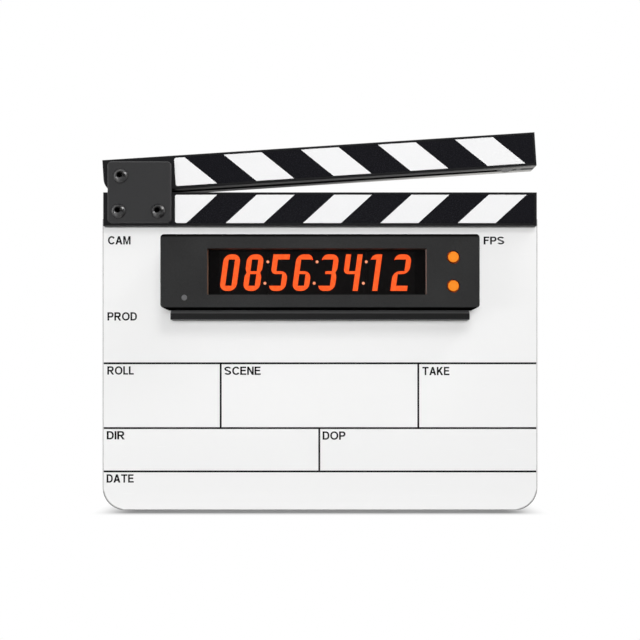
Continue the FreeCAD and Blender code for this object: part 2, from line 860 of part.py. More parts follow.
group("holder_screws", holder_screw, [(x, board_back, z) for x, z in holder_screw_places], faces_back)

# Front housing: a tray open at the back, with bosses and a window collar behind its front wall
housing = node(new_body("front_housing"))
shell = new_sketch(housing, "front", cover_front)
bar_outline(shell, length(0), mm.bar_corner_radius)
pad(housing, shell, mm.housing_depth)
dress(housing, "Fillet", on_level("Y", housing_front), mm.housing_edge_radius)
hollow = new_sketch(housing, "front", cover_front)
bar_outline(hollow, mm.housing_wall, mm.housing_inner_radius)
cut(housing, hollow, mm.housing_depth - mm.housing_front_wall, along_normal=True)
bosses = new_sketch(housing, "front", circuit_front)
for x, z in boss_places:
    circle(bosses, x, z, mm.boss_diameter)
pad(housing, bosses, circuit_front - wall_inside)
boss_holes = new_sketch(housing, "front", circuit_front)
for x, z in boss_places:
    circle(boss_holes, x, z, housing_screw_hole)
cut(housing, boss_holes, mm.boss_hole_depth, along_normal=True)
collar = new_sketch(housing, "front", lens_front)
rounded_rectangle(
    collar,
    window_left - mm.window_collar_wall,
    window_bottom - mm.window_collar_wall,
    window_right + mm.window_collar_wall,
    window_top + mm.window_collar_wall,
    mm.window_corner_radius + mm.window_collar_wall,
)
pad(housing, collar, mm.window_collar_depth)
through_wall = mm.housing_front_wall + mm.cut_overrun
opening = new_sketch(housing, "front", housing_front)
rounded_rectangle(
    opening, window_left, window_bottom, window_right, window_top, mm.window_corner_radius
)
cut(housing, opening, through_wall + mm.window_collar_depth)
ports = new_sketch(housing, "front", housing_front)
for z in (upper_key_z, lower_key_z):
    circle(ports, key_x, z, mm.key_diameter + mm.key_side_gap * 2)
circle(ports, light_pipe_x, light_pipe_z, mm.light_pipe_diameter + mm.light_pipe_gap * 2)
cut(housing, ports, through_wall)
jack_y = circuit_front - mm.jack_body_height / 2
usb_y = circuit_front - mm.usb_height / 2
through_side = mm.housing_wall + mm.cut_overrun
side_ports = new_sketch(housing, "side", -bar_side)
circle(side_ports, jack_y, jack_z, mm.jack_nose_diameter + mm.jack_wall_gap * 2)
cut(housing, side_ports, through_side, along_normal=True)


def usb_outline(sketch, grow):
    """The socket's rounded outline, grown by a gap or drawn in by a wall."""
    rounded_rectangle(
        sketch,
        usb_y - mm.usb_height / 2 - grow,
        usb_z - mm.usb_width / 2 - grow,
        usb_y + mm.usb_height / 2 + grow,
        usb_z + mm.usb_width / 2 + grow,
        mm.usb_corner_radius + grow,
    )


slot = new_sketch(housing, "side", -bar_side)
usb_outline(slot, mm.usb_wall_gap)
cut(housing, slot, through_side, along_normal=True)

# Rear cover with a locating rim, posts behind the circuit board and two fixing bosses
cover = node(new_body("rear_cover"))
plate = new_sketch(cover, "front", holder_front)
bar_outline(plate, length(0), mm.bar_corner_radius)
pad(cover, plate, mm.cover_thickness)
dress(cover, "Fillet", on_level("Y", holder_front), mm.cover_edge_radius)
rim = new_sketch(cover, "front", cover_front)
rim_inset = mm.housing_wall + mm.rim_gap
bar_outline(rim, rim_inset, mm.housing_inner_radius)
bar_outline(rim, rim_inset + mm.rim_width, mm.housing_inner_radius)
pad(cover, rim, mm.rim_height)
post_diameter = mm.boss_diameter - (mm.boss_wall_overlap + mm.rim_gap) * 2
posts = new_sketch(cover, "front", cover_front)
for x, z in boss_places:
    circle(posts, x, z, post_diameter)
pad(cover, posts, cover_front - circuit_back)
fixing = new_sketch(cover, "front", cover_front)
for x in display_screw_xs:
    circle(fixing, x, bar_middle_z, mm.display_boss_diameter)
pad(cover, fixing, cover_front - circuit_back - mm.display_boss_gap)
bores = new_sketch(cover, "front", holder_front)
for x, z in boss_places:
    circle(bores, x, z, housing_screw_hole)
cut(cover, bores)
sink = (mm.housing_screw_head_diameter - mm.housing_screw_diameter) / 2
dress(cover, "Chamfer", ring_of(housing_screw_hole / 2, "Y", holder_front), sink)
seats = new_sketch(cover, "front", holder_front)
for x in display_screw_xs:
    circle(seats, x, bar_middle_z, mm.display_insert_diameter + mm.display_insert_gap * 2)
cut(cover, seats)

insert_length = holder_front - circuit_back - mm.display_boss_gap - mm.display_insert_setback
display_insert = turned("display_insert", [
    (rear_hole / 2, 0),
    (mm.display_insert_diameter / 2, 0),
    (mm.display_insert_diameter / 2, insert_length),
    (rear_hole / 2, insert_length),
])
insert_places = [(x, holder_front, bar_middle_z) for x in display_screw_xs]
group("display_inserts", display_insert, insert_places, faces_front)
display_screw = rear_screw("display_screw", board_back - holder_front + insert_length)
group("display_screws", display_screw, [(x, board_back, bar_middle_z) for x in display_screw_xs], faces_back)
housing_screw = countersunk_screw(
    "housing_screw",
    mm.housing_screw_diameter,
    mm.housing_screw_head_diameter,
    holder_front - circuit_front + mm.housing_screw_bite,
)
group("housing_screws", housing_screw, [(x, holder_front, z) for x, z in boss_places], faces_back)

# Window glued behind the collar, between the two rows of bosses
lens = node(new_body("display_window"))
pane = new_sketch(lens, "front", lens_back)
lens_inset = mm.housing_wall + mm.boss_diameter - mm.boss_wall_overlap + mm.lens_boss_gap
rectangle(
    pane,
    window_left - mm.lens_side_overlap,
    bar_bottom + lens_inset,
    window_right + mm.lens_side_overlap,
    bar_top - lens_inset,
)
pad(lens, pane, mm.lens_thickness)

# Circuit board clamped between the bosses and the posts
circuit = node(new_body("circuit_board"))
panel = new_sketch(circuit, "front", circuit_back)
circuit_inset = mm.housing_wall + mm.circuit_edge_gap
rectangle(
    panel,
    circuit_inset - bar_side,
    bar_bottom + circuit_inset,
    bar_side - circuit_inset,
    bar_top - circuit_inset,
)
pad(circuit, panel, mm.circuit_thickness)
bores = new_sketch(circuit, "front", circuit_back)
for x, z in boss_places:
    circle(bores, x, z, housing_screw_hole)
cut(circuit, bores)


def chip(label, width, height, thickness, x, z):
    """A flat package soldered to the back of the circuit board."""
    box = node(doc.addObject("Part::Box", label))
    box.Label = label
    box.setExpression("Length", width.text)
    box.setExpression("Width", thickness.text)
    box.setExpression("Height", height.text)
    put(box, x - width / 2, circuit_back, z - height / 2, upright)


chip_x = bar_side - mm.radio_from_side
radio_z = bar_middle_z + mm.radio_above_middle
processor_z = bar_middle_z - mm.processor_below_middle
chip("radio_module", mm.radio_width, mm.radio_height, mm.radio_thickness, chip_x, radio_z)
processor_side = mm.processor_width
chip("processor_chip", processor_side, processor_side, mm.processor_thickness, chip_x, processor_z)

# Four two-digit modules in a row
module = new_body("digit_module")
face = new_sketch(module, "top", 0)
module_pitch = (mm.window_width - mm.module_side_margin * 2) / 4
module_half = (module_pitch - mm.module_gap) / 2
module_rise = mm.window_height / 2 - mm.module_edge_margin
rectangle(face, -module_half, -module_rise, module_half, module_rise)
pad(module, face, mm.module_thickness)
module_places = [
    (window_middle_x + module_pitch * (step - 1.5), circuit_front, window_middle_z)
    for step in range(4)
]
group("digit_modules", module, module_places, faces_front)

# Flat battery on the rear cover
battery = node(new_body("battery_pack"))
pouch = new_sketch(battery, "front", cover_front)
rounded_rectangle(
    pouch,
    -mm.battery_width / 2,
    bar_middle_z - mm.battery_height / 2,
    mm.battery_width / 2,
    bar_middle_z + mm.battery_height / 2,
    mm.battery_corner_radius,
)
pad(battery, pouch, mm.battery_thickness)
dress(battery, "Fillet", on_level("Y", cover_front - mm.battery_thickness), mm.battery_edge_radius)

# Keys with a flange behind the front wall, each over a plunger in its switch case
switch_front = circuit_front - mm.switch_height
plunger_front = switch_front + mm.plunger_seat_depth - mm.plunger_length
key_seat = wall_inside + mm.key_seat_gap


def key(name, z):
    """One key and the plunger that it pushes."""
    crown = key_seat - housing_front + mm.key_proud
    cap = node(turned(f"{name}_button", [
        (0, key_seat - plunger_front),
        (mm.key_stem_diameter / 2, key_seat - plunger_front),
        (mm.key_stem_diameter / 2, -mm.key_flange_thickness),
        (mm.key_flange_diameter / 2, -mm.key_flange_thickness),
        (mm.key_flange_diameter / 2, 0),
        (mm.key_diameter / 2, 0),
        (mm.key_diameter / 2, crown),
        (0, crown),
    ]))
    dress(cap, "Fillet", ring_of(mm.key_diameter / 2, "Z", crown), mm.key_edge_radius)
    put(cap, key_x, key_seat, z, faces_front)
    plunger = node(turned(f"{name}_switch_plunger", [
        (0, -mm.plunger_length),
        (mm.plunger_diameter / 2, -mm.plunger_length),
        (mm.plunger_diameter / 2, 0),
        (0, 0),
    ]))
    put(plunger, key_x, plunger_front, z, faces_front)


key("upper", upper_key_z)
key("lower", lower_key_z)
switch = new_body("button_switch")
base = new_sketch(switch, "top", 0)
half = mm.switch_width / 2
rectangle(base, -half, -half, half, half)
pad(switch, base, mm.switch_height)
well = new_sketch(switch, "top", mm.switch_height)
circle(well, 0, 0, mm.plunger_diameter + mm.plunger_side_gap * 2)
cut(switch, well, mm.plunger_seat_depth + mm.key_travel + mm.key_travel_spare)
switch_places = [(key_x, circuit_front, z) for z in (upper_key_z, lower_key_z)]
group("button_switches", switch, switch_places, faces_front)

# Light pipe from the front face to the sensor chip
sensor_front = circuit_front - mm.sensor_height
pipe_end = sensor_front - mm.sensor_gap
pipe = node(turned("light_pipe", [
    (0, wall_inside - pipe_end),
    (mm.light_pipe_stem_diameter / 2, wall_inside - pipe_end),
    (mm.light_pipe_stem_diameter / 2, -mm.light_pipe_flange_thickness),
    (mm.light_pipe_flange_diameter / 2, -mm.light_pipe_flange_thickness),
    (mm.light_pipe_flange_diameter / 2, 0),
    (mm.light_pipe_diameter / 2, 0),
    (mm.light_pipe_diameter / 2, mm.housing_front_wall - mm.light_pipe_setback),
    (0, mm.housing_front_wall - mm.light_pipe_setback),
]))
put(pipe, light_pipe_x, wall_inside, light_pipe_z, faces_front)
sensor = node(doc.addObject("Part::Box", "light_sensor"))
sensor.Label = "light_sensor"
sensor.setExpression("Length", mm.sensor_width.text)
sensor.setExpression("Width", mm.sensor_height.text)
sensor.setExpression("Height", mm.sensor_width.text)
sensor_half = mm.sensor_width / 2
put(sensor, light_pipe_x - sensor_half, sensor_front, light_pipe_z - sensor_half, upright)

# Charging socket: a thin shell round a contact tongue
socket_mouth = mm.socket_setback - bar_side
usb = node(new_body("usb_socket"))
can = new_sketch(usb, "side", socket_mouth)
usb_outline(can, length(0))
pad(usb, can, mm.usb_length)
cavity = new_sketch(usb, "side", socket_mouth)
usb_outline(cavity, -mm.usb_shell)
cavity_depth = mm.usb_length - mm.usb_floor
cut(usb, cavity, cavity_depth, along_normal=True)
tongue = new_sketch(usb, "side", socket_mouth + mm.usb_tongue_setback)
rectangle(
    tongue,
    usb_y - mm.usb_tongue_thickness / 2,
    usb_z - mm.usb_tongue_width / 2,
    usb_y + mm.usb_tongue_thickness / 2,
    usb_z + mm.usb_tongue_width / 2,
)
pad(usb, tongue, cavity_depth - mm.usb_tongue_setback)

# Jack with a round nose in the side wall
jack = node(new_body("timecode_jack"))
wall_left = mm.housing_wall + mm.socket_setback - bar_side
nose = new_sketch(jack, "side", socket_mouth)
circle(nose, jack_y, jack_z, mm.jack_nose_diameter)
pad(jack, nose, wall_left - socket_mouth)
case = new_sketch(jack, "side", wall_left)
rectangle(
    case,
    jack_y - mm.jack_body_height / 2,
    jack_z - mm.jack_body_width / 2,
    jack_y + mm.jack_body_height / 2,
    jack_z + mm.jack_body_width / 2,
)
pad(jack, case, mm.jack_body_length)
bore = new_sketch(jack, "side", socket_mouth)
circle(bore, jack_y, jack_z, mm.jack_bore_diameter)
cut(jack, bore, mm.jack_bore_depth, along_normal=True)

doc.recompute()
for item in doc.Objects:
    if "Invalid" in item.State or "Error" in item.State:
        raise RuntimeError(f"{item.Label}: {item.State}")
for item in nodes:
    if item.Shape.isNull() or not item.Shape.isValid():
        raise RuntimeError(f"{item.Label}: no valid shape")
os.makedirs("parts", exist_ok=True)
for item in nodes:
    item.Shape.exportStep(f"parts/{item.Label}.step")
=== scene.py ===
import json
import math

import bmesh
import bpy
from mathutils import Matrix, Vector


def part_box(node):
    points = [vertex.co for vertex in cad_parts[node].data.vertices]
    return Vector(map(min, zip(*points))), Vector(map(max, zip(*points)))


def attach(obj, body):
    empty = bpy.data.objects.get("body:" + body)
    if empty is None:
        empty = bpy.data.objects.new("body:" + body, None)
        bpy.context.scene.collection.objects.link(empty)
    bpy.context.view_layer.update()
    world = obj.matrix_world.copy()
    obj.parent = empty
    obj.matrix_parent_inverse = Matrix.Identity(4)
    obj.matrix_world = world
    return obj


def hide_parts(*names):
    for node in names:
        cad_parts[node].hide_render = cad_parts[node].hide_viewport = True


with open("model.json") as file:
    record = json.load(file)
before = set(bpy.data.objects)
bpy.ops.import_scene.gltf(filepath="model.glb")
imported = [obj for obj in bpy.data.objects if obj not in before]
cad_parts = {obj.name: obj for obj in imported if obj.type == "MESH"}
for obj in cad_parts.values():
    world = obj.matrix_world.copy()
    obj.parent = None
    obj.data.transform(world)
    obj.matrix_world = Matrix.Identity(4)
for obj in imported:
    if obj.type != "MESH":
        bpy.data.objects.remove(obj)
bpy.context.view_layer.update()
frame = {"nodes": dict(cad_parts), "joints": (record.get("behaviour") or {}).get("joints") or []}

# Slate board: a 4 mm sheet of opal white acrylic, cut with two round lower corners and a fine chamfer.
# Its face is polished so that marker pen wipes off, which leaves faint smears and hairline scratches.
# The sharp outline on the face is painted shade, and round the lower corners a wider, darker painted shadow
# follows it.
acrylic_white = (0.90, 0.90, 0.898, 1)
acrylic_cut = (0.70, 0.71, 0.71, 1)
outline_shade_grey = (0.20, 0.20, 0.20, 1)
corner_shadow_black = (0.05, 0.05, 0.05, 1)
acrylic_smear_size = 0.06
acrylic_scratch_size = 0.0006
acrylic_scratch_stretch = (0.03, 1.0, 1.0)
acrylic_relief = 0.00003
arris_width = 0.0010
corner_shadow_extra = 0.0006
corner_shadow_fade = 0.004
board_corner = 0.0155
board_low, board_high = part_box("slate_board")
board_face = board_low.y


class Socket:
    """An output of a finish's nodes; arithmetic on it adds Math nodes."""

    def __init__(self, tree, link=None):
        self.tree = tree
        self.link = link

    def add(self, kind, settings=None, sockets=None, output=0):
        """A new node: its settings first, then a value or a link for each of its sockets."""
        node = self.tree.nodes.new(kind)
        for name, setting in (settings or {}).items():
            setattr(node, name, setting)
        for name, value in (sockets or {}).items():
            if isinstance(value, Socket):
                self.tree.links.new(value.link, node.inputs[name])
            else:
                node.inputs[name].default_value = value
        return Socket(self.tree, node.outputs[output] if node.outputs else None)

    def math(self, operation, *values):
        """One Math node on sockets and numbers."""
        return self.add("ShaderNodeMath", {"operation": operation}, dict(enumerate(values)))

    def __add__(self, other):
        return self.math("ADD", self, other)

    __radd__ = __add__

    def __sub__(self, other):
        return self.math("SUBTRACT", self, other)

    def __rsub__(self, other):
        return self.math("SUBTRACT", other, self)

    def __mul__(self, other):
        return self.math("MULTIPLY", self, other)

    __rmul__ = __mul__

    def __truediv__(self, other):
        return self.math("DIVIDE", self, other)

    def __abs__(self):
        return self.math("ABSOLUTE", self)


def new_finish(name):
    """An empty material and its object coordinates."""
    material = bpy.data.materials.new(name)
    material.use_nodes = True
    material.node_tree.nodes.clear()
    return material, Socket(material.node_tree).add("ShaderNodeTexCoord", output="Object")


def surface(point, sockets):
    """Close a finish with one shader."""
    shader = point.add("ShaderNodeBsdfPrincipled", None, sockets)
    point.add("ShaderNodeOutputMaterial", None, {"Surface": shader})


def axes(point):
    """The three coordinates of a point, each a socket of its own."""
    parts = point.add("ShaderNodeSeparateXYZ", None, {"Vector": point})
    node = parts.link.node
    return [Socket(point.tree, output) for output in node.outputs]


def stretched(point, scale):
    return point.add("ShaderNodeMapping", None, {"Vector": point, "Scale": scale})


def noise(point, size, detail):
    """Cloudy noise whose patches are about as large as the given size."""
    return point.add("ShaderNodeTexNoise", None, {"Vector": point, "Scale": 1 / size, "Detail": detail})


def ramp(value, low, high):
    """Zero below low, one above high and a smooth rise between them."""
    sockets = {"Value": value, "From Min": low, "From Max": high}
    return value.add("ShaderNodeMapRange", {"interpolation_type": "SMOOTHSTEP"}, sockets)


def larger(first, second):
    return first.math("MAXIMUM", first, second)


def smaller(first, second):
    return first.math("MINIMUM", first, second)


def blend(share, first, second):
    """From the first colour to the second as the share rises from zero to one."""
    return share.add("ShaderNodeMix", {"data_type": "RGBA"}, {0: share, 6: first, 7: second}, output=2)


def relief(height, depth):
    return height.add("ShaderNodeBump", None, {"Height": height, "Distance": depth})


def coat(material, *nodes):
    """Give CAD pieces their finish."""
    for name in nodes:
        for piece_slot in frame["nodes"][name].material_slots:
            piece_slot.material = material


acrylic, spot = new_finish("white_acrylic")
across, through, up = axes(spot)
smear = noise(spot, acrylic_smear_size, detail=4.0)
hairlines = noise(stretched(spot, acrylic_scratch_stretch), acrylic_scratch_size, detail=2.0)
scratch = ramp(hairlines, 0.68, 0.76)
past_side = abs(across) - (board_high.x - board_corner)
past_foot = board_corner - up
beyond_side = larger(past_side, 0.0)
beyond_foot = larger(past_foot, 0.0)
reach = beyond_side.math("SQRT", beyond_side * beyond_side + beyond_foot * beyond_foot)
from_corner = reach + smaller(larger(past_side, past_foot), 0.0)
# Painted shade: a grey line along the board's outline, widened into a darker painted shadow round the lower
# corners.
in_corner = ramp(smaller(past_side, past_foot), 0.0, corner_shadow_fade)
outline_shade_start = (board_corner - arris_width) - in_corner * corner_shadow_extra
outline_shade_mask = ramp(from_corner, outline_shade_start, board_corner)
on_face = ramp(abs(through), board_high.y - arris_width / 2, board_high.y - arris_width / 4)
outline_shade_colour = blend(in_corner, outline_shade_grey, corner_shadow_black)
cut_edge_and_shade_colour = blend(on_face, acrylic_cut, outline_shade_colour)
surface(spot, {
    "Base Color": blend(outline_shade_mask, acrylic_white, cut_edge_and_shade_colour),
    "Roughness": 0.14 + smear * 0.14 + scratch * 0.06,
    "Normal": relief(smear + scratch * 0.02, acrylic_relief),
})
coat(acrylic, "slate_board")

# Printed ruling: thin black lines screened on the face, which part the board into its fields.
# The ink film stands a few hundredths of a millimetre proud and is a little duller than the sheet.
ink_film = 0.00003
line_width = 0.0013
ruled_edge = 0.1492
rows = {"upper": 0.1013, "middle": 0.0566, "lower": 0.0267}
uprights = [("upper", "middle", -0.0685), ("upper", "middle", 0.0678), ("middle", "lower", -0.0005)]
ink_black = (0.004, 0.004, 0.0045, 1)
ink_worn = (0.012, 0.012, 0.0125, 1)
ink_grain_size = 0.0004
ink_relief = 0.00001


def new_piece(name, shape, body):
    """A piece made of a bmesh, which rides on a CAD body."""
    mesh = bpy.data.meshes.new(name)
    shape.to_mesh(mesh)
    shape.free()
    piece = bpy.data.objects.new(name, mesh)
    bpy.context.scene.collection.objects.link(piece)
    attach(piece, body)
    return piece


def flat_bar(shape, left, right, bottom, top, front, thickness):
    """A thin upright bar with its front at a level."""
    middle = ((left + right) / 2, front + thickness / 2, (bottom + top) / 2)
    size = Matrix.Diagonal((right - left, thickness, top - bottom, 1))
    bmesh.ops.create_cube(shape, size=1.0, matrix=Matrix.Translation(middle) @ size)


ink_front = board_face - ink_film
half_line = line_width / 2
ruling = bmesh.new()
for height in rows.values():
    flat_bar(ruling, -ruled_edge, ruled_edge, height - half_line, height + half_line, ink_front, ink_film)
for above, below, x in uprights:
    bottom, top = rows[below] + half_line, rows[above] - half_line
    flat_bar(ruling, x - half_line, x + half_line, bottom, top, ink_front, ink_film)
ruling_piece = new_piece("printed_ruling", ruling, "slate")

ink, spot = new_finish("screen_ink")
grain = noise(spot, ink_grain_size, detail=3.0)
surface(spot, {
    "Base Color": blend(ramp(grain, 0.55, 0.80), ink_black, ink_worn),
    "Roughness": 0.45 + grain * 0.20,
    "Specular IOR Level": 0.2,
    "Normal": relief(grain, ink_relief),
})
ruling_piece.data.materials.append(ink)

# Field headings: the plain words that any slate has for its fields, printed with the ruling.
# They are small sans serif capitals in the same ink, each in the upper left corner of its field.
heading_height = 0.0057
short_headings = {"FPS": 0.0054}
stem = 0.212
arm = 0.180
letter_gap = 0.095
bowl_steps = 14
# Each heading's word, its left and right ends and its foot
headings = [
    ("CAM", -0.1463, -0.1307, 0.1833),
    ("FPS", 0.1129, 0.1271, 0.1833),
    ("PROD", -0.1466, -0.1263, 0.1308),
    ("ROLL", -0.1467, -0.1285, 0.0935),
    ("SCENE", -0.0659, -0.0409, 0.0933),
    ("TAKE", 0.0706, 0.0893, 0.0931),
    ("DIR", -0.1471, -0.1347, 0.0488),
    ("DOP", 0.0018, 0.0176, 0.0486),
    ("DATE", -0.1472, -0.1285, 0.0190),
]


def bow(centre, reach, start, stop):
    """Points on a bow about a centre, from one angle in degrees to another."""
    (x, y), (wide, tall) = centre, reach
    turns = [math.radians(start + (stop - start) * step / bowl_steps) for step in range(bowl_steps + 1)]
    return [(x + wide * math.cos(turn), y + tall * math.sin(turn)) for turn in turns]


top_arm = 1 - arm
middle_arm = (0.44, 0.44 + arm)
# The two bows of the S, each with its outer and its inner edge
upper_turn, lower_turn = [
    [bow((0.40, height), (0.31 + side * stem / 2, 0.185 + side * arm / 2), *angles) for side in (1, -1)]
    for height, angles in ((0.725, (20, 270)), (0.275, (90, -160)))
]
# Each letter's outline and then its holes, one unit tall; the length of its word sets its width
letters = {
    "A": [[(0, 0), (0.34, 1), (0.57, 1), (0.91, 0), (0.67, 0), (0.60, 0.22), (0.31, 0.22), (0.24, 0)],
          [(0.37, 0.40), (0.54, 0.40), (0.455, 0.68)]],
    "C": [bow((0.48, 0.5), (0.48, 0.51), 35, 325) + bow((0.48, 0.5), (0.48 - stem, 0.51 - arm), 325, 35)],
    "D": [[(0, 0), (0.81, 0, 0.42), (0.81, 1, 0.42), (0, 1)],
          [(stem, arm), (0.81 - stem, arm, 0.22), (0.81 - stem, top_arm, 0.22), (stem, top_arm)]],
    "E": [[(0, 0), (0.74, 0), (0.74, arm), (stem, arm), (stem, middle_arm[0]), (0.67, middle_arm[0]),
           (0.67, middle_arm[1]), (stem, middle_arm[1]), (stem, top_arm), (0.71, top_arm),
           (0.71, 1), (0, 1)]],
    "F": [[(0, 0), (stem, 0), (stem, middle_arm[0]), (0.58, middle_arm[0]), (0.58, middle_arm[1]),
           (stem, middle_arm[1]), (stem, top_arm), (0.67, top_arm), (0.67, 1), (0, 1)]],
    "I": [[(0, 0), (stem, 0), (stem, 1), (0, 1)]],
    "K": [[(0, 0), (stem, 0), (stem, 0.28), (0.33, 0.40), (0.57, 0), (0.84, 0), (0.48, 0.57), (0.80, 1),
           (0.54, 1), (stem, 0.60), (stem, 1), (0, 1)]],
    "L": [[(0, 0), (0.62, 0), (0.62, arm), (stem, arm), (stem, 1), (0, 1)]],
    "M": [[(0, 0), (0.20, 0), (0.20, 0.66), (0.38, 0), (0.56, 0), (0.74, 0.66), (0.74, 0), (0.94, 0),
           (0.94, 1), (0.68, 1), (0.47, 0.27), (0.26, 1), (0, 1)]],
    "N": [[(0, 0), (0.20, 0), (0.20, 0.64), (0.57, 0), (0.78, 0), (0.78, 1), (0.58, 1), (0.58, 0.36),
           (0.21, 1), (0, 1)]],
    "O": [[(0, -0.01, 0.48), (0.97, -0.01, 0.48), (0.97, 1.01, 0.48), (0, 1.01, 0.48)],
          [(stem, arm, 0.25), (0.97 - stem, arm, 0.25),
           (0.97 - stem, top_arm, 0.25), (stem, top_arm, 0.25)]],
    "P": [[(0, 0), (stem, 0), (stem, 0.36), (0.77, 0.36, 0.31), (0.77, 1, 0.31), (0, 1)],
          [(stem, 0.36 + arm), (0.77 - stem, 0.36 + arm, 0.13),
           (0.77 - stem, top_arm, 0.13), (stem, top_arm)]],
    "R": [[(0, 0), (stem, 0), (stem, 0.39), (0.35, 0.39), (0.60, 0), (0.86, 0), (0.57, 0.40),
           (0.80, 0.42, 0.23), (0.80, 1, 0.28), (0, 1)],
          [(stem, 0.39 + arm), (0.80 - stem, 0.39 + arm, 0.11),
           (0.80 - stem, top_arm, 0.11), (stem, top_arm)]],
    "S": [upper_turn[0] + lower_turn[1] + lower_turn[0][::-1] + upper_turn[1][::-1]],
    "T": [[(0.415 - stem / 2, 0), (0.415 + stem / 2, 0), (0.415 + stem / 2, top_arm), (0.83, top_arm),
           (0.83, 1), (0, 1), (0, top_arm), (0.415 - stem / 2, top_arm)]],
}
round_handle_share = 0.5523
curve_steps = 6
merge_reach = 1e-7


def add_outline(curve, corners):
    """A closed outline through the corners; a corner with a third number is rounded by that radius."""
    knots = []
    for index, (x, y, *rounding) in enumerate(corners):
        here = Vector((x, y, 0))
        if not rounding:
            knots.append((here, here, here))
            continue
        before, after = corners[index - 1], corners[(index + 1) % len(corners)]
        toward = (Vector((before[0], before[1], 0)) - here).normalized() * rounding[0]
        onward = (Vector((after[0], after[1], 0)) - here).normalized() * rounding[0]
        pull = 1 - round_handle_share
        knots.append((here + toward, here + toward, here + toward * pull))
        knots.append((here + onward * pull, here + onward, here + onward))
    spline = curve.splines.new("BEZIER")
    spline.bezier_points.add(len(knots) - 1)
    spline.use_cyclic_u = True
    for point, (entry, knot, leave) in zip(spline.bezier_points, knots):
        point.handle_left_type = "FREE"
        point.handle_right_type = "FREE"
        point.co = knot
        point.handle_left = entry
        point.handle_right = leave


def cut_out(outlines, thickness):
    """The flat mesh inside a glyph's outlines, with its thickness about the plane of the drawing."""
    curve = bpy.data.curves.new("glyph", "CURVE")
    curve.dimensions = "2D"
    curve.fill_mode = "BOTH"
    curve.extrude = thickness / 2
    curve.resolution_u = curve_steps
    for corners in outlines:
        add_outline(curve, corners)
    holder = bpy.data.objects.new("glyph", curve)
    mesh = bpy.data.meshes.new_from_object(holder)
    bpy.data.objects.remove(holder)
    return mesh


upright_turn = Matrix.Rotation(math.pi / 2, 4, "X")
printing = bmesh.new()
for word, left, right, bottom in headings:
    spans = [max(corner[0] for corner in letters[letter][0]) for letter in word]
    squeeze = (right - left) / (sum(spans) + letter_gap * (len(word) - 1))
    height = short_headings.get(word, heading_height)
    for place, letter in enumerate(word):
        ahead = (sum(spans[:place]) + letter_gap * place) * squeeze
        glyph = cut_out(letters[letter], ink_film)
        seat = Matrix.Translation((left + ahead, board_face - ink_film / 2, bottom))
        glyph.transform(seat @ upright_turn @ Matrix.Diagonal((squeeze, height, 1, 1)))
        printing.from_mesh(glyph)
bmesh.ops.remove_doubles(printing, verts=printing.verts, dist=merge_reach)
bmesh.ops.recalc_face_normals(printing, faces=printing.faces)
heading_piece = new_piece("field_headings", printing, "slate")
heading_piece.data.materials.append(ink)

# Clapper sticks: solid aluminium bars, milled, brushed along their length and anodised a dull black.
# The sharp edges but the lowest are painted a lighter grey in patches, a painted highlight along the fine
# chamfers that also looks like edge wear, and the faces that clap together are rubbed bare, most of all
# near the tips.
anodised_black = (0.0125, 0.0125, 0.0135, 1)
edge_wear_and_highlight = (0.055, 0.055, 0.058, 1)
bare_grey = (0.60, 0.59, 0.565, 1)
bare_reach = (0.01, 0.15)
bare_lean = 14.0
bare_depth = 0.0004
brushed_size = 0.0005
brushed_stretch = (0.02, 1.0, 1.0)
brushed_relief = 0.000006
highlight_edge_width = 0.0005
highlight_patch_size = 0.012
stick_gloss = 0.2
rest_opening = math.radians(3.71)
pivot_above_edge = 0.0099
pivot = Vector(frame["joints"][0]["pos_m"])
stick_low, stick_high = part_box("lower_stick")
clapper_bottom = pivot.z - pivot_above_edge
clapper_top = clapper_bottom + stick_high.z - stick_low.z
# Each stick's lower edge, upper edge and back face
stick_spans = {
    "slate": (stick_low.z, stick_high.z, stick_high.y),
    "clapper": (clapper_bottom, clapper_top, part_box("upper_stick")[1].y),
}


def along_stick(spot, body):
    """Coordinates that lie along a stick, also along the upper one, which rests a little open."""
    if body == "slate":
        return spot
    sockets = {"Vector": spot, "Location": pivot, "Rotation": (0, -rest_opening, 0)}
    lying = spot.add("ShaderNodeMapping", {"vector_type": "TEXTURE"}, sockets)
    return lying.add("ShaderNodeVectorMath", {"operation": "ADD"}, {0: lying, 1: pivot})


def anodised(name, body):
    """The black finish, in the lie of one stick."""
    material, spot = new_finish(name)
    spot = along_stick(spot, body)
    bottom, top, face = stick_spans[body]
    across, through, up = axes(spot)
    if body == "slate":
        from_edge = abs(up - top)
        meeting = ramp(up, top - bare_depth, top)
    else:
        from_edge = smaller(abs(up - bottom), abs(up - top))
        meeting = 1 - ramp(up, bottom, bottom + bare_depth)
    near_edge = 1 - ramp(from_edge, 0.0, highlight_edge_width)
    on_face = ramp(abs(through), face - highlight_edge_width * 1.2, face)
    brushed = noise(stretched(spot, brushed_stretch), brushed_size, detail=3.0)
    # Painted highlight: patches of lighter grey along the chamfers, like worn dye.
    wear_and_highlight = near_edge * on_face * ramp(noise(spot, highlight_patch_size, detail=3.0), 0.30, 0.65)
    bare = meeting * ramp(across + through * bare_lean, *bare_reach)
    surface(spot, {
        "Base Color": blend(bare, blend(wear_and_highlight, anodised_black, edge_wear_and_highlight), bare_grey),
        "Metallic": bare,
        "Roughness": 0.30 + brushed * 0.16,
        "Specular IOR Level": stick_gloss,
        "Normal": relief(brushed, brushed_relief),
    })
    return material


coat(anodised("black_anodised", "slate"), "lower_stick")
coat(anodised("black_anodised_clapper", "clapper"), "upper_stick")

# Stripe plates: thin white sheets printed with slanting black bars, glued into the sticks' recesses.
# The two patterns mirror each other about the line where the sticks meet.
stripe_white = (0.865, 0.865, 0.87, 1)
stripe_black = (0.0075, 0.0074, 0.0098, 1)
stripe_width = 0.02637
stripe_first = {"slate": -0.0699, "clapper": -0.0705}
stripe_share = 0.51
stripe_lean = 1.095
stripe_ragged = 0.00006
stripe_grain_size = 0.0005
stripe_relief = 0.000006
inlay_border = 0.00165


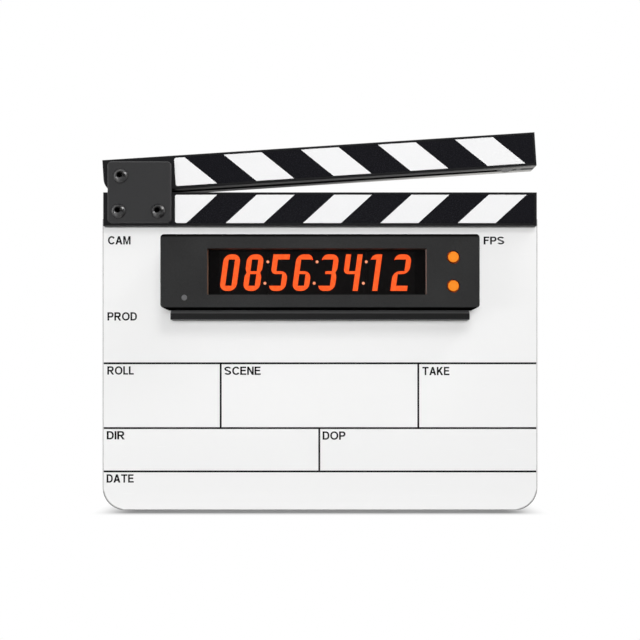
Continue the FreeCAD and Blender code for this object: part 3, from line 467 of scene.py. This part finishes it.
def striped(name, body, sense):
    """The print of one plate; its bars lean out from the meeting line."""
    material, spot = new_finish(name)
    spot = along_stick(spot, body)
    across, _, up = axes(spot)
    bottom, top, _ = stick_spans[body]
    edge = top - inlay_border if body == "slate" else bottom + inlay_border
    fine = noise(spot, stripe_grain_size, detail=2.0)
    phase = across + (edge - up) * (stripe_lean * sense) - stripe_first[body] + fine * stripe_ragged
    turn = phase.math("FRACT", phase / (stripe_width * 2))
    black = turn.math("LESS_THAN", turn, stripe_share) * phase.math("GREATER_THAN", phase, 0.0)
    surface(spot, {
        "Base Color": blend(black, stripe_white, stripe_black),
        "Roughness": 0.25 + fine * 0.04,
        "Specular IOR Level": 0.4,
        "Normal": relief(black, stripe_relief),
    })
    return material


coat(striped("stripe_print", "slate", sense=1), "lower_stripe_inlay")
coat(striped("stripe_print_clapper", "clapper", sense=-1), "upper_stripe_inlay")

# Magnets and groove block at the tips: nickel plated discs that hold the sticks shut.
# The upper one sits in a black block that fills the groove, held by one countersunk screw.
nickel = (0.12, 0.12, 0.117, 1)
block_black = (0.016, 0.016, 0.016, 1)
scuff_relief = 0.000008
cloud_size = 0.03


def plated(name, colour, rough, scuff_size):
    """Bright plated metal with fine scuffs."""
    material, spot = new_finish(name)
    scuff = noise(spot, scuff_size, detail=4.0)
    dull = tuple(channel * 0.75 for channel in colour[:3]) + (1,)
    surface(spot, {
        "Base Color": blend(ramp(scuff, 0.45, 0.75), colour, dull),
        "Metallic": 1.0,
        "Roughness": rough + scuff * 0.20,
        "Normal": relief(scuff, scuff_relief),
    })
    return material


def moulded(name, colour, rough, grain_size, grain_depth):
    """Moulded plastic with a fine even grain."""
    material, spot = new_finish(name)
    grain = noise(spot, grain_size, detail=2.0)
    cloud = noise(spot, cloud_size, detail=3.0)
    pale = tuple(min(1.0, channel * 1.25) for channel in colour[:3]) + (1,)
    surface(spot, {
        "Base Color": blend(ramp(cloud * 0.6 + grain * 0.4, 0.35, 0.80), colour, pale),
        "Roughness": rough + grain * 0.12,
        "Normal": relief(grain, grain_depth),
    })
    return material


coat(plated("magnet_nickel", nickel, rough=0.16, scuff_size=0.0008), "lower_magnet", "upper_magnet")
coat(moulded("groove_block", block_black, rough=0.42, grain_size=0.0003, grain_depth=0.00002),
     "groove_insert")

# Hinge plates: two square aluminium plates, bead blasted and anodised dark grey, over both sticks.
# The bevels and the corners are painted a little brighter than the flats, a painted highlight in patches as
# from handling, where they are also smoother.
plate_grey = (0.034, 0.034, 0.035, 1)
plate_highlight_grey = (0.065, 0.065, 0.067, 1)
bead_size = 0.00022
bead_relief = 0.000022
handling_size = 0.015
highlight_edge = (0.0010, 0.0001)
plate_low, plate_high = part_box("hinge_front_plate")

blasted, spot = new_finish("hinge_plate_grey")
across, _, up = axes(spot)
plate_middle = (plate_low + plate_high) / 2
plate_half = (plate_high - plate_low) / 2
out_sideways = abs(across - plate_middle.x) - plate_half.x
out_upwards = abs(up - plate_middle.z) - plate_half.z
# Painted highlight on the bevels and corners, broken up by handling patches.
highlight_and_handling = ramp(larger(out_sideways, out_upwards), -highlight_edge[0], -highlight_edge[1])
beads = noise(spot, bead_size, detail=1.0)
patches = noise(spot, handling_size, detail=4.0)
surface(spot, {
    "Base Color": blend(highlight_and_handling * (0.45 + patches * 0.55), plate_grey, plate_highlight_grey),
    "Roughness": 0.50 + beads * 0.14 - highlight_and_handling * 0.12,
    "Specular IOR Level": 0.35,
    "Normal": relief(beads, bead_relief),
})
coat(blasted, "hinge_front_plate", "hinge_rear_plate")

# Hinge fasteners: black oxide button head screws with a hexagon socket in a low dome, and lock nuts behind.
# The pivot screw runs in a bronze bush in the upper stick, between two thin nylon washers.
oxide_black = (0.14, 0.14, 0.143, 1)
oxide_brown = (0.185, 0.181, 0.177, 1)
zinc = (0.50, 0.51, 0.53, 1)
bronze_brown = (0.42, 0.26, 0.11, 1)
nylon_cream = (0.72, 0.70, 0.64, 1)
screw_radius = 0.0025
screw_chamfer = 0.0005
head_rim = 0.0006
hex_width = 0.0032
hex_depth = 0.0020
socket_lip = 0.0020
dome_steps = 10
turn_steps = 48
bloom_size = 0.0016
bloom_relief = 0.00001
crease_angle = math.radians(32)
screw_low, screw_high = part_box("pivot_screw")
head_seat = plate_low.y
head_radius = (screw_high.x - screw_low.x) / 2

dome_rise = head_seat - head_rim - screw_low.y
dome_centre = (head_radius ** 2 + dome_rise ** 2 - socket_lip ** 2) / (2 * dome_rise)
dome_radius = math.hypot(dome_centre, socket_lip)
dome_start, dome_stop = math.asin(head_radius / dome_radius), math.asin(socket_lip / dome_radius)
outline = [
    (0, screw_high.y),
    (screw_radius - screw_chamfer, screw_high.y),
    (screw_radius, screw_high.y - screw_chamfer),
    (screw_radius, head_seat),
    (head_radius, head_seat),
]
for step in range(dome_steps + 1):
    tilt = dome_start + (dome_stop - dome_start) * step / dome_steps
    outline.append((dome_radius * math.sin(tilt), screw_low.y + dome_centre - dome_radius * math.cos(tilt)))
screw = bmesh.new()
corners = [screw.verts.new((reach, depth, 0)) for reach, depth in outline]
profile = [screw.edges.new(ends) for ends in zip(corners, corners[1:])]
bmesh.ops.spin(
    screw, geom=corners + profile, cent=(0, 0, 0), axis=(0, 1, 0),
    angle=math.tau, steps=turn_steps, use_merge=True,
)
lip = [edge for edge in screw.edges if edge.is_boundary]
socket_floor = Matrix.Translation((0, screw_low.y + hex_depth, 0)) @ upright_turn
hex_radius = hex_width / math.sqrt(3)
bmesh.ops.create_circle(screw, cap_ends=True, segments=6, radius=hex_radius, matrix=socket_floor)
hexagon = [edge for edge in screw.edges if edge.is_boundary and edge not in lip]
walls = bmesh.ops.extrude_edge_only(screw, edges=hexagon)["geom"]
mouth = [part for part in walls if isinstance(part, bmesh.types.BMVert)]
bmesh.ops.translate(screw, verts=mouth, vec=(0, -hex_depth, 0))
bmesh.ops.bridge_loops(screw, edges=[edge for edge in screw.edges if edge.is_boundary])
bmesh.ops.remove_doubles(screw, verts=screw.verts, dist=merge_reach)
bmesh.ops.recalc_face_normals(screw, faces=screw.faces)
for face in screw.faces:
    face.smooth = True
one_screw = bpy.data.meshes.new("hinge_screw")
screw.to_mesh(one_screw)
screw.free()

oxide, spot = new_finish("black_steel")
bloom = noise(spot, bloom_size, detail=4.0)
surface(spot, {
    "Base Color": blend(ramp(bloom, 0.45, 0.70), oxide_black, oxide_brown),
    "Metallic": 1.0,
    "Roughness": 0.26 + bloom * 0.12,
    "Normal": relief(bloom, bloom_relief),
})
coat(oxide, "housing_screws", "groove_insert_screw")
pair_low, pair_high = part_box("plate_screws")
screw_places = {
    "pivot_screw": [pivot.x],
    "plate_screws": [pair_low.x + head_radius, pair_high.x - head_radius],
}
for node, places in screw_places.items():
    low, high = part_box(node)
    screws = bmesh.new()
    for x in places:
        placed = one_screw.copy()
        placed.transform(Matrix.Translation((x, 0, (low.z + high.z) / 2)))
        screws.from_mesh(placed)
    piece = new_piece("domed_" + node, screws, "slate")
    piece.data.set_sharp_from_angle(angle=crease_angle)
    piece.data.materials.append(oxide)
    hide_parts(node)
coat(plated("zinc_steel", zinc, rough=0.24, scuff_size=0.0012),
     "pivot_nut", "plate_nuts", "board_screws", "holder_screws", "display_screws")
coat(plated("bronze", bronze_brown, rough=0.34, scuff_size=0.0006), "pivot_bush")
coat(moulded("nylon", nylon_cream, rough=0.46, grain_size=0.0006, grain_depth=0.00001), "pivot_washers")

# Display holder: a black anodised aluminium extrusion screwed to the board from behind.
# Its back plate carries the display bar, and the bevel on the ledge below it is painted pale grey, a
# painted highlight.
extrusion_black = (0.0105, 0.0105, 0.0108, 1)
bevel_highlight_grey = (0.145, 0.145, 0.146, 1)
ledge_bevel = 0.0026
drawn_size = 0.0006
drawn_relief = 0.000008
ledge_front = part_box("display_holder")[0].y
ledge_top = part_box("front_housing")[0].z

extrusion, spot = new_finish("holder_charcoal")
_, through, up = axes(spot)
drawn = noise(stretched(spot, brushed_stretch), drawn_size, detail=3.0)
from_bevel = abs(up - (ledge_top - ledge_bevel / 2))
on_bevel = 1 - ramp(from_bevel, ledge_bevel * 0.44, ledge_bevel * 0.52)
forward = 1 - ramp(through, ledge_front + ledge_bevel, ledge_front + ledge_bevel * 1.2)
# Painted highlight: the ledge's bevel is painted pale grey.
surface(spot, {
    "Base Color": blend(on_bevel * forward * (0.7 + drawn * 0.3), extrusion_black, bevel_highlight_grey),
    "Roughness": 0.34 + drawn * 0.18,
    "Normal": relief(drawn, drawn_relief),
})
coat(extrusion, "display_holder")

# Display bar: a charcoal moulding in two halves, with a spark eroded grain and matt black rims of painted
# shade and shadow.
# Six countersunk screws from behind clamp the halves, and brass inserts take the fixing screws.
# The window opening's walls are painted with light: a brown glow, a highlight at the right, shade above and
# below.
charcoal = (0.0175, 0.0175, 0.0177, 1)
charcoal_pale = (0.0330, 0.0330, 0.0332, 1)
rim_shade_black = (0.0022, 0.0021, 0.0020, 1)
reveal_glow_brown = (0.36, 0.24, 0.17, 1)
reveal_shade = (0.060, 0.040, 0.030, 1)
reveal_highlight = (0.72, 0.54, 0.48, 1)
module_side_margin = 0.00705
module_edge_margin = 0.00095
reveal_width = (0.0001, 0.0003)
reveal_depth = (0.0002, 0.0006)
glow_change = (-0.01, 0.01)
spark_size = 0.00045
spark_relief = 0.00004
handled_size = 0.035
rim_depth = (0.0014, 0.0034)
upper_rim_reach = (0.0028, 0.0008)
lower_rim_reach = 0.0007
brass = (0.60, 0.42, 0.16, 1)
bar_low, bar_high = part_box("front_housing")
lit_low, lit_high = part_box("digit_modules")

housing, spot = new_finish("housing_charcoal")
across, through, up = axes(spot)
spark = noise(spot, spark_size, detail=1.5)
handled = noise(spot, handled_size, detail=4.0)
mottled = ramp(spark * 0.7 + handled * 0.3, 0.30, 0.75)
window_middle = (lit_low + lit_high) / 2
window_half = (lit_high - lit_low) / 2
past_side = abs(across - window_middle.x) - (window_half.x + module_side_margin)
past_edge = abs(up - window_middle.z) - (window_half.z + module_edge_margin)
# Painted glow, highlight and shade on the walls of the window opening.
at_window = 1 - ramp(abs(larger(past_side, past_edge)), *reveal_width)
behind_front = through - bar_low.y
painted_reveal = at_window * ramp(behind_front, *reveal_depth)
side_glow_and_highlight = blend(ramp(across, *glow_change), reveal_glow_brown, reveal_highlight)
reveal_painted_light = blend(past_side.math("GREATER_THAN", past_side, past_edge), reveal_shade, side_glow_and_highlight)
grained = blend(mottled, charcoal, charcoal_pale)
moulding = spot.add("ShaderNodeBsdfPrincipled", None, {
    "Base Color": blend(painted_reveal, grained, reveal_painted_light),
    "Roughness": 0.46 + spark * 0.12 - handled * 0.08,
    "Specular IOR Level": 0.35,
    "Normal": relief(spark, spark_relief),
})
shaded_rim = spot.add("ShaderNodeBsdfPrincipled", None, {
    "Base Color": rim_shade_black,
    "Roughness": 0.9,
    "Specular IOR Level": 0.0,
})
# Painted shade: a matt black line along the top edge, and a painted shadow along the bottom edge.
upper_rim_shade = ramp(up, bar_high.z - upper_rim_reach[0], bar_high.z - upper_rim_reach[1])
lower_rim_shadow = 1 - ramp(up, bar_low.z, bar_low.z + lower_rim_reach)
painted_rim_shade = larger(upper_rim_shade * (1 - ramp(behind_front, *rim_depth)), lower_rim_shadow)
mixed = spot.add("ShaderNodeMixShader", None, {0: painted_rim_shade, 1: moulding, 2: shaded_rim})
spot.add("ShaderNodeOutputMaterial", None, {"Surface": mixed})
coat(housing, "front_housing", "rear_cover")
coat(plated("brass_insert", brass, rough=0.28, scuff_size=0.0005), "display_inserts")

# Window: a polished pane of smoke tinted acrylic, glued behind the opening of the front half.
# A black border is printed on its back, and it lets only the lit digits through.
smoke = (0.006, 0.005, 0.005, 1)
smoke_density = 0.35
wiped_size = 0.02
wiped_stretch = (0.3, 1.0, 1.0)
wiped_relief = 0.000006
border_film = 0.00003

pane, spot = new_finish("window_tint")
wiped = noise(stretched(spot, wiped_stretch), wiped_size, detail=4.0)
surface(spot, {
    "Base Color": smoke,
    "Alpha": smoke_density,
    "Roughness": 0.03 + wiped * 0.07,
    "Normal": relief(wiped, wiped_relief),
})
coat(pane, "display_window")

pane_low, pane_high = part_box("display_window")
border = bmesh.new()
for left, right, bottom, top in (
    (pane_low.x, lit_low.x, pane_low.z, pane_high.z),
    (lit_high.x, pane_high.x, pane_low.z, pane_high.z),
    (lit_low.x, lit_high.x, pane_low.z, lit_low.z),
    (lit_low.x, lit_high.x, lit_high.z, pane_high.z),
):
    flat_bar(border, left, right, bottom, top, pane_high.y, border_film)
border_piece = new_piece("window_border", border, "slate")
border_piece.data.materials.append(ink)

# Digit modules: black faced blocks of two digits each, soldered side by side behind the window.
# The lit segments are diffusing bars that show as slanting numerals, with a pair of dots between.
module_black = (0.0065, 0.0062, 0.0066, 1)
digit_width = 0.0111
digit_height = 0.0244
digit_bottom = 0.1493
digit_stroke = 0.0034
digit_waist = 0.0019
digit_slant = 0.136
digit_pitch = 0.0156
pair_pitch = 0.0329
pair_first = -0.0673
segment_rise = 0.0002
corner_round = 0.0047
end_round = 0.0038
elbow_round = 0.0032
notch_reach = 0.0023
notch_depth = 0.0011
notch_round = 0.0010
bar_start = 0.0034
one_left = -0.0002
one_right = 0.0069
dot_radius = 0.00094
dot_steps = 32
dot_before_pair = 0.0031
dot_heights = (0.0051, 0.0194)
shown_time = "08563412"
glow_red = (1.0, 0.092, 0.014, 1)
glow_amber = (1.0, 0.136, 0.024, 1)
dot_glow = (1.0, 0.44, 0.27, 1)
dot_rim = (1.0, 0.27, 0.12, 1)
glow_strength = 2.2

left, right, bottom, top = 0.0, digit_width, 0.0, digit_height
inner_left, inner_right = digit_stroke, digit_width - digit_stroke
inner_bottom, inner_top = digit_stroke, digit_height - digit_stroke
waist_low = (digit_height - digit_waist) / 2
waist_high = (digit_height + digit_waist) / 2
middle = digit_height / 2
eye_foot = [(inner_left, inner_bottom), (inner_right, inner_bottom)]
eye_head = [(inner_right, inner_top), (inner_left, inner_top)]
lower_eye = eye_foot + [(inner_right, waist_low), (inner_left, waist_low)]
upper_eye = [(inner_left, waist_high), (inner_right, waist_high)] + eye_head
whole_eye = eye_foot + eye_head
foot = [(left, inner_bottom), (left, bottom, end_round), (right, bottom, corner_round)]
head = [(right, top, corner_round), (left, top, end_round), (left, inner_top), (inner_right, inner_top)]
right_notch = [
    (right, middle - notch_reach, notch_round),
    (right - notch_depth, middle),
    (right, middle + notch_reach, notch_round),
]
left_notch = [(right - x, digit_height - y, *rest) for x, y, *rest in right_notch]
base = [(left, bottom, corner_round), (right, bottom, corner_round)]
# Each numeral's outline and then its holes
numerals = {
    "0": [base + [(right, top, corner_round), (left, top, corner_round)], whole_eye],
    "1": [[
        (one_right - digit_stroke, bottom), (one_right, bottom), (one_right, top),
        (one_left, top, end_round), (one_left, inner_top), (one_right - digit_stroke, inner_top),
    ]],
    "2": [[
        (left, bottom), (right, bottom), (right, inner_bottom), (inner_left, inner_bottom),
        (inner_left, waist_low), (right, waist_low, corner_round), *head,
        (inner_right, waist_high), (left, waist_high, corner_round),
    ]],
    "3": [[
        *foot, *right_notch, *head, (inner_right, waist_high), (bar_start, waist_high),
        (bar_start, waist_low), (inner_right, waist_low), (inner_right, inner_bottom),
    ]],
    "4": [[
        (left, top), (left, waist_low, elbow_round), (inner_right, waist_low), (inner_right, bottom),
        (right, bottom), (right, top), (inner_right, top), (inner_right, waist_high),
        (inner_left, waist_high), (inner_left, top),
    ]],
    "5": [[
        *foot, (right, waist_high, corner_round), (inner_left, waist_high), (inner_left, inner_top),
        (right, inner_top), (right, top), (left, top), (left, waist_low, elbow_round),
        (inner_right, waist_low), (inner_right, inner_bottom),
    ]],
    "6": [[
        *base, (right, waist_high, corner_round), (inner_left, waist_high), (inner_left, inner_top),
        (right, inner_top), (right, top, end_round), (left, top, corner_round),
    ], lower_eye],
    "8": [base + right_notch + [(right, top, corner_round), (left, top, corner_round)] + left_notch,
          lower_eye, upper_eye],
}

slant = Matrix.Shear("XZ", 4, (digit_slant, 0.0))
module_face = lit_low.y
segments = bmesh.new()
for place, numeral in enumerate(shown_time):
    bars = cut_out(numerals[numeral], segment_rise)
    pair, second = divmod(place, 2)
    x = pair_first + pair * pair_pitch + second * digit_pitch
    shift = Matrix.Translation((x, module_face - segment_rise / 2, digit_bottom))
    bars.transform(shift @ upright_turn @ slant)
    segments.from_mesh(bars)
bmesh.ops.remove_doubles(segments, verts=segments.verts, dist=merge_reach)
bmesh.ops.recalc_face_normals(segments, faces=segments.faces)
segment_piece = new_piece("lit_segments", segments, "slate")

dots = bmesh.new()
for pair in (1, 2, 3):
    for height in dot_heights:
        x = pair_first + pair * pair_pitch - dot_before_pair + height * digit_slant
        centre = Vector((x, module_face - segment_rise / 2, digit_bottom + height))
        place = Matrix.Translation(centre) @ upright_turn
        bmesh.ops.create_cone(
            dots, cap_ends=True, segments=dot_steps, radius1=dot_radius, radius2=dot_radius,
            depth=segment_rise, matrix=place,
        )
dot_piece = new_piece("lit_dots", dots, "slate")


def lit(name, core, rim, patch_size):
    """A diffuser lit from behind, a little uneven over its face."""
    material, spot = new_finish(name)
    patch = noise(spot, patch_size, detail=2.0)
    surface(spot, {
        "Base Color": rim,
        "Roughness": 0.45,
        "Emission Color": blend(ramp(patch, 0.35, 0.65), core, rim),
        "Emission Strength": glow_strength,
    })
    return material


segment_piece.data.materials.append(lit("lit_orange", glow_amber, glow_red, patch_size=0.0022))
dot_piece.data.materials.append(lit("lit_dot", dot_glow, dot_rim, patch_size=0.0012))
coat(moulded("digit_face", module_black, rough=0.40, grain_size=0.0003, grain_depth=0.000015),
     "digit_modules")

# Electronics behind the modules: a green circuit board with a shielded radio and a processor chip,
# and a flat foil battery stuck to the rear half of the bar.
# The board is printed black under the modules, so that no green shows between them.
resist_green = (0.010, 0.075, 0.032, 1)
resist_pale = (0.020, 0.120, 0.055, 1)
foil_silver = (0.55, 0.55, 0.56, 1)
shield_tin = (0.52, 0.52, 0.52, 1)
chip_black = (0.014, 0.014, 0.015, 1)
track_size = 0.0012
track_stretch = (1.0, 1.0, 0.12)
track_relief = 0.00002

resist, spot = new_finish("circuit_green")
across, _, up = axes(spot)
tracks = noise(stretched(spot, track_stretch), track_size, detail=1.0)
past_ends = abs(across - window_middle.x) - window_half.x
past_rows = abs(up - window_middle.z) - window_half.z
past_modules = larger(past_ends, past_rows)
printed = past_modules.math("LESS_THAN", past_modules, 0.0)
green = blend(ramp(tracks, 0.50, 0.56), resist_green, resist_pale)
surface(spot, {
    "Base Color": blend(printed, green, ink_black),
    "Roughness": 0.26 + tracks * 0.12,
    "Normal": relief(tracks, track_relief),
})
coat(resist, "circuit_board")
coat(plated("battery_foil", foil_silver, rough=0.34, scuff_size=0.004), "battery_pack")
coat(plated("radio_shield", shield_tin, rough=0.30, scuff_size=0.002), "radio_module")
coat(moulded("chip_black", chip_black, rough=0.48, grain_size=0.0003, grain_depth=0.00001),
     "processor_chip", "light_sensor")

# Keys: two round orange mouldings with a flange behind the front wall, each over a switch plunger.
# The crowns are rubbed smooth in the middle and have painted shade round their edge, and the plungers sit
# in black switch cases.
key_orange = (0.90, 0.243, 0.0135, 1)
key_rubbed = (0.91, 0.283, 0.021, 1)
key_rim_shade = (0.45, 0.060, 0.008, 1)
key_radius = 0.0037
rim_shade_start = 0.88
thumb_reach = (0.0008, 0.0032)
pore_size = 0.00035
pore_relief = 0.000015
case_black = (0.014, 0.014, 0.014, 1)

for name in ("upper_button", "lower_button"):
    low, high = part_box(name)
    crown = (low + high) / 2
    cap, spot = new_finish(name + "_orange")
    offset = spot.add("ShaderNodeMapping", {"vector_type": "TEXTURE"}, {"Vector": spot, "Location": crown})
    across, _, up = axes(offset)
    from_middle = across.math("SQRT", across * across + up * up)
    pores = noise(spot, pore_size, detail=2.0)
    thumbed = 1 - ramp(from_middle, *thumb_reach)
    # Painted shade: the edge of each crown is painted dark red.
    painted_edge_shade = ramp(from_middle, key_radius * rim_shade_start, key_radius)
    orange = blend(thumbed * 0.6 + pores * 0.3, key_orange, key_rubbed)
    surface(spot, {
        "Base Color": blend(painted_edge_shade, orange, key_rim_shade),
        "Roughness": 0.48 + pores * 0.12 - thumbed * 0.10,
        "Specular IOR Level": 0.3,
        "Normal": relief(pores, pore_relief),
    })
    coat(cap, name)
coat(moulded("switch_black", case_black, rough=0.44, grain_size=0.0004, grain_depth=0.00001),
     "upper_switch_plunger", "lower_switch_plunger", "button_switches")

# Light guide: a frosted plug in the front wall that leads daylight to the sensor chip.
# It sets how brightly the digits shine.
guide_grey = (0.12, 0.12, 0.124, 1)

coat(moulded("light_guide", guide_grey, rough=0.30, grain_size=0.0005, grain_depth=0.000015),
     "light_pipe")

# Sockets in the left side: a stamped steel charging socket with its contact tongue,
# and a black moulded jack for the timecode lead.
shell_steel = (0.48, 0.48, 0.49, 1)
jack_black = (0.013, 0.013, 0.013, 1)

coat(plated("socket_steel", shell_steel, rough=0.26, scuff_size=0.0009), "usb_socket")
coat(moulded("jack_black", jack_black, rough=0.40, grain_size=0.0003, grain_depth=0.000012),
     "timecode_jack")

# Floor: a plain pale sheet just under the slate, painted darker right behind the board as a contact shadow.
# It takes the shadow near by and goes over into plain white further out. In mirror images it is dim, but
# for a white card at the left, and it throws little light up in front and more behind.
floor_pale = (0.80, 0.80, 0.80, 1)
painted_contact_shadow = (0.42, 0.42, 0.42, 1)
front_bounce = (0.16, 0.16, 0.16, 1)
back_bounce = (0.85, 0.85, 0.85, 1)
floor_half = 4.0
floor_drop = 0.0025
shadow_front = (-0.0085, 0.0045)
shadow_back = (0.010, 0.075)
contact_shadow_back = (0.008, 0.040)
shadow_side = (0.128, 0.160)
bounce_change = (-0.05, 0.10)
card_right = (-0.32, -0.20)
card_left = (-0.80, -0.60)
card_back = (-0.10, 0.0)
card_sheen = 0.80
front_sheen = 0.10
back_sheen = 0.28
sheen_change = (-0.03, 0.10)
paper_size = 0.002

floor_shape = bmesh.new()
floor_level = Matrix.Translation((0, 0, -floor_drop))
bmesh.ops.create_grid(floor_shape, x_segments=1, y_segments=1, size=floor_half, matrix=floor_level)
floor_mesh = bpy.data.meshes.new("floor")
floor_shape.to_mesh(floor_mesh)
floor_shape.free()
floor = bpy.data.objects.new("floor", floor_mesh)
bpy.context.scene.collection.objects.link(floor)

pale, spot = new_finish("floor_pale")
across, through, _ = axes(spot)
shadow_deep = ramp(through, *shadow_front) * (1 - ramp(through, *shadow_back))
shadowed = shadow_deep * (1 - ramp(abs(across), *shadow_side))
seen = spot.add("ShaderNodeLightPath", output="Is Camera Ray")
mirrored = spot.add("ShaderNodeLightPath", output="Is Glossy Ray")
passed = spot.add("ShaderNodeLightPath", output="Is Transmission Ray")
bounced = spot.add("ShaderNodeLightPath", output="Is Diffuse Ray")
card = (1 - ramp(across, *card_right)) * ramp(across, *card_left) * (1 - ramp(through, *card_back))
sheen = front_sheen + ramp(through, *sheen_change) * back_sheen + card * card_sheen
shown = larger(seen, larger(mirrored * sheen, passed))
paper = noise(spot, paper_size, detail=2.0)
floor_bounce = blend(ramp(through, *bounce_change), front_bounce, back_bounce)
# Painted shadow: the floor's colour is darker right behind the board.
floor_with_painted_shadow = blend(ramp(through, *contact_shadow_back), painted_contact_shadow, floor_pale)
lit_floor = spot.add("ShaderNodeBsdfPrincipled", None, {
    "Base Color": blend(bounced, floor_with_painted_shadow, floor_bounce),
    "Roughness": 0.75 + paper * 0.10,
    "Specular IOR Level": 0.2,
})
white_floor = spot.add("ShaderNodeEmission", None, {"Color": (1, 1, 1, 1), "Strength": 1.0})
far = (1 - shadowed) * shown
mixed = spot.add("ShaderNodeMixShader", None, {0: far, 1: lit_floor, 2: white_floor})
spot.add("ShaderNodeOutputMaterial", None, {"Surface": mixed})
floor.data.materials.append(pale)

# Studio: soft boxes in front, behind and above that leave no mirror images, and two small ones, overhead
# at the right and low at the left, that give the screws their sparkle.
# The room is white, but in mirror images its front half is dark.
room_fill = 0.19
dark_front = (-0.05, 0.45)
dark_share = 0.94
# Each lamp's name, place, size, watts and whether it leaves a mirror image
lamps = [
    ("front", (0.0, -1.9, 0.16), (1.0, 0.7), 30.4, False),
    ("behind", (0.0, 1.9, 0.70), (1.6, 1.2), 22.0, False),
    ("overhead", (0.75, -0.34, 1.15), (0.38, 0.3), 3.5, True),
    ("upper", (0.18, -0.85, 0.85), (0.4, 0.3), 3.0, False),
    ("low_left", (-0.85, -0.55, 0.03), (0.35, 0.2), 2.0, True),
]
aim = Vector((0, 0, 0.12))

scene = bpy.context.scene
for name, place, (wide, deep), watts, has_image in lamps:
    lamp = bpy.data.lights.new(name, "AREA")
    lamp.shape = "RECTANGLE"
    lamp.size = wide
    lamp.size_y = deep
    lamp.energy = watts
    holder = bpy.data.objects.new(name, lamp)
    holder.location = place
    holder.visible_glossy = has_image
    holder.rotation_euler = (aim - Vector(place)).to_track_quat("-Z", "Y").to_euler()
    scene.collection.objects.link(holder)

world = bpy.data.worlds.new("white_room")
world.use_nodes = True
world.node_tree.nodes.clear()
scene.world = world
room = Socket(world.node_tree)
_, through, _ = axes(room.add("ShaderNodeTexCoord", output="Generated"))
seen = room.add("ShaderNodeLightPath", output="Is Camera Ray")
mirrored = room.add("ShaderNodeLightPath", output="Is Glossy Ray")
passed = room.add("ShaderNodeLightPath", output="Is Transmission Ray")
mirror_level = 1 - ramp(through * -1.0, *dark_front) * dark_share
straight = larger(seen, passed)
level = straight + mirrored * mirror_level + (1 - larger(straight, mirrored)) * room_fill
background = room.add("ShaderNodeBackground", None, {"Color": (1, 1, 1, 1), "Strength": level})
room.add("ShaderNodeOutputWorld", None, {"Surface": background})

# Camera: close in front and looking straight ahead, level with the lower half of the board,
# with the frame shifted up so that the uprights stay upright.
camera_place = (0.0, -0.430, 0.0879)
camera_turn = (math.radians(90.0), 0.0, 0.0)
camera_lens = 34.9
camera_shift = 0.098

camera_data = bpy.data.cameras.new("camera")
camera_data.lens = camera_lens
camera_data.shift_y = camera_shift
camera_data.clip_start = 0.01
camera = bpy.data.objects.new("camera", camera_data)
camera.location = camera_place
camera.rotation_euler = camera_turn
scene.collection.objects.link(camera)
scene.camera = camera
scene.view_settings.view_transform = "Standard"
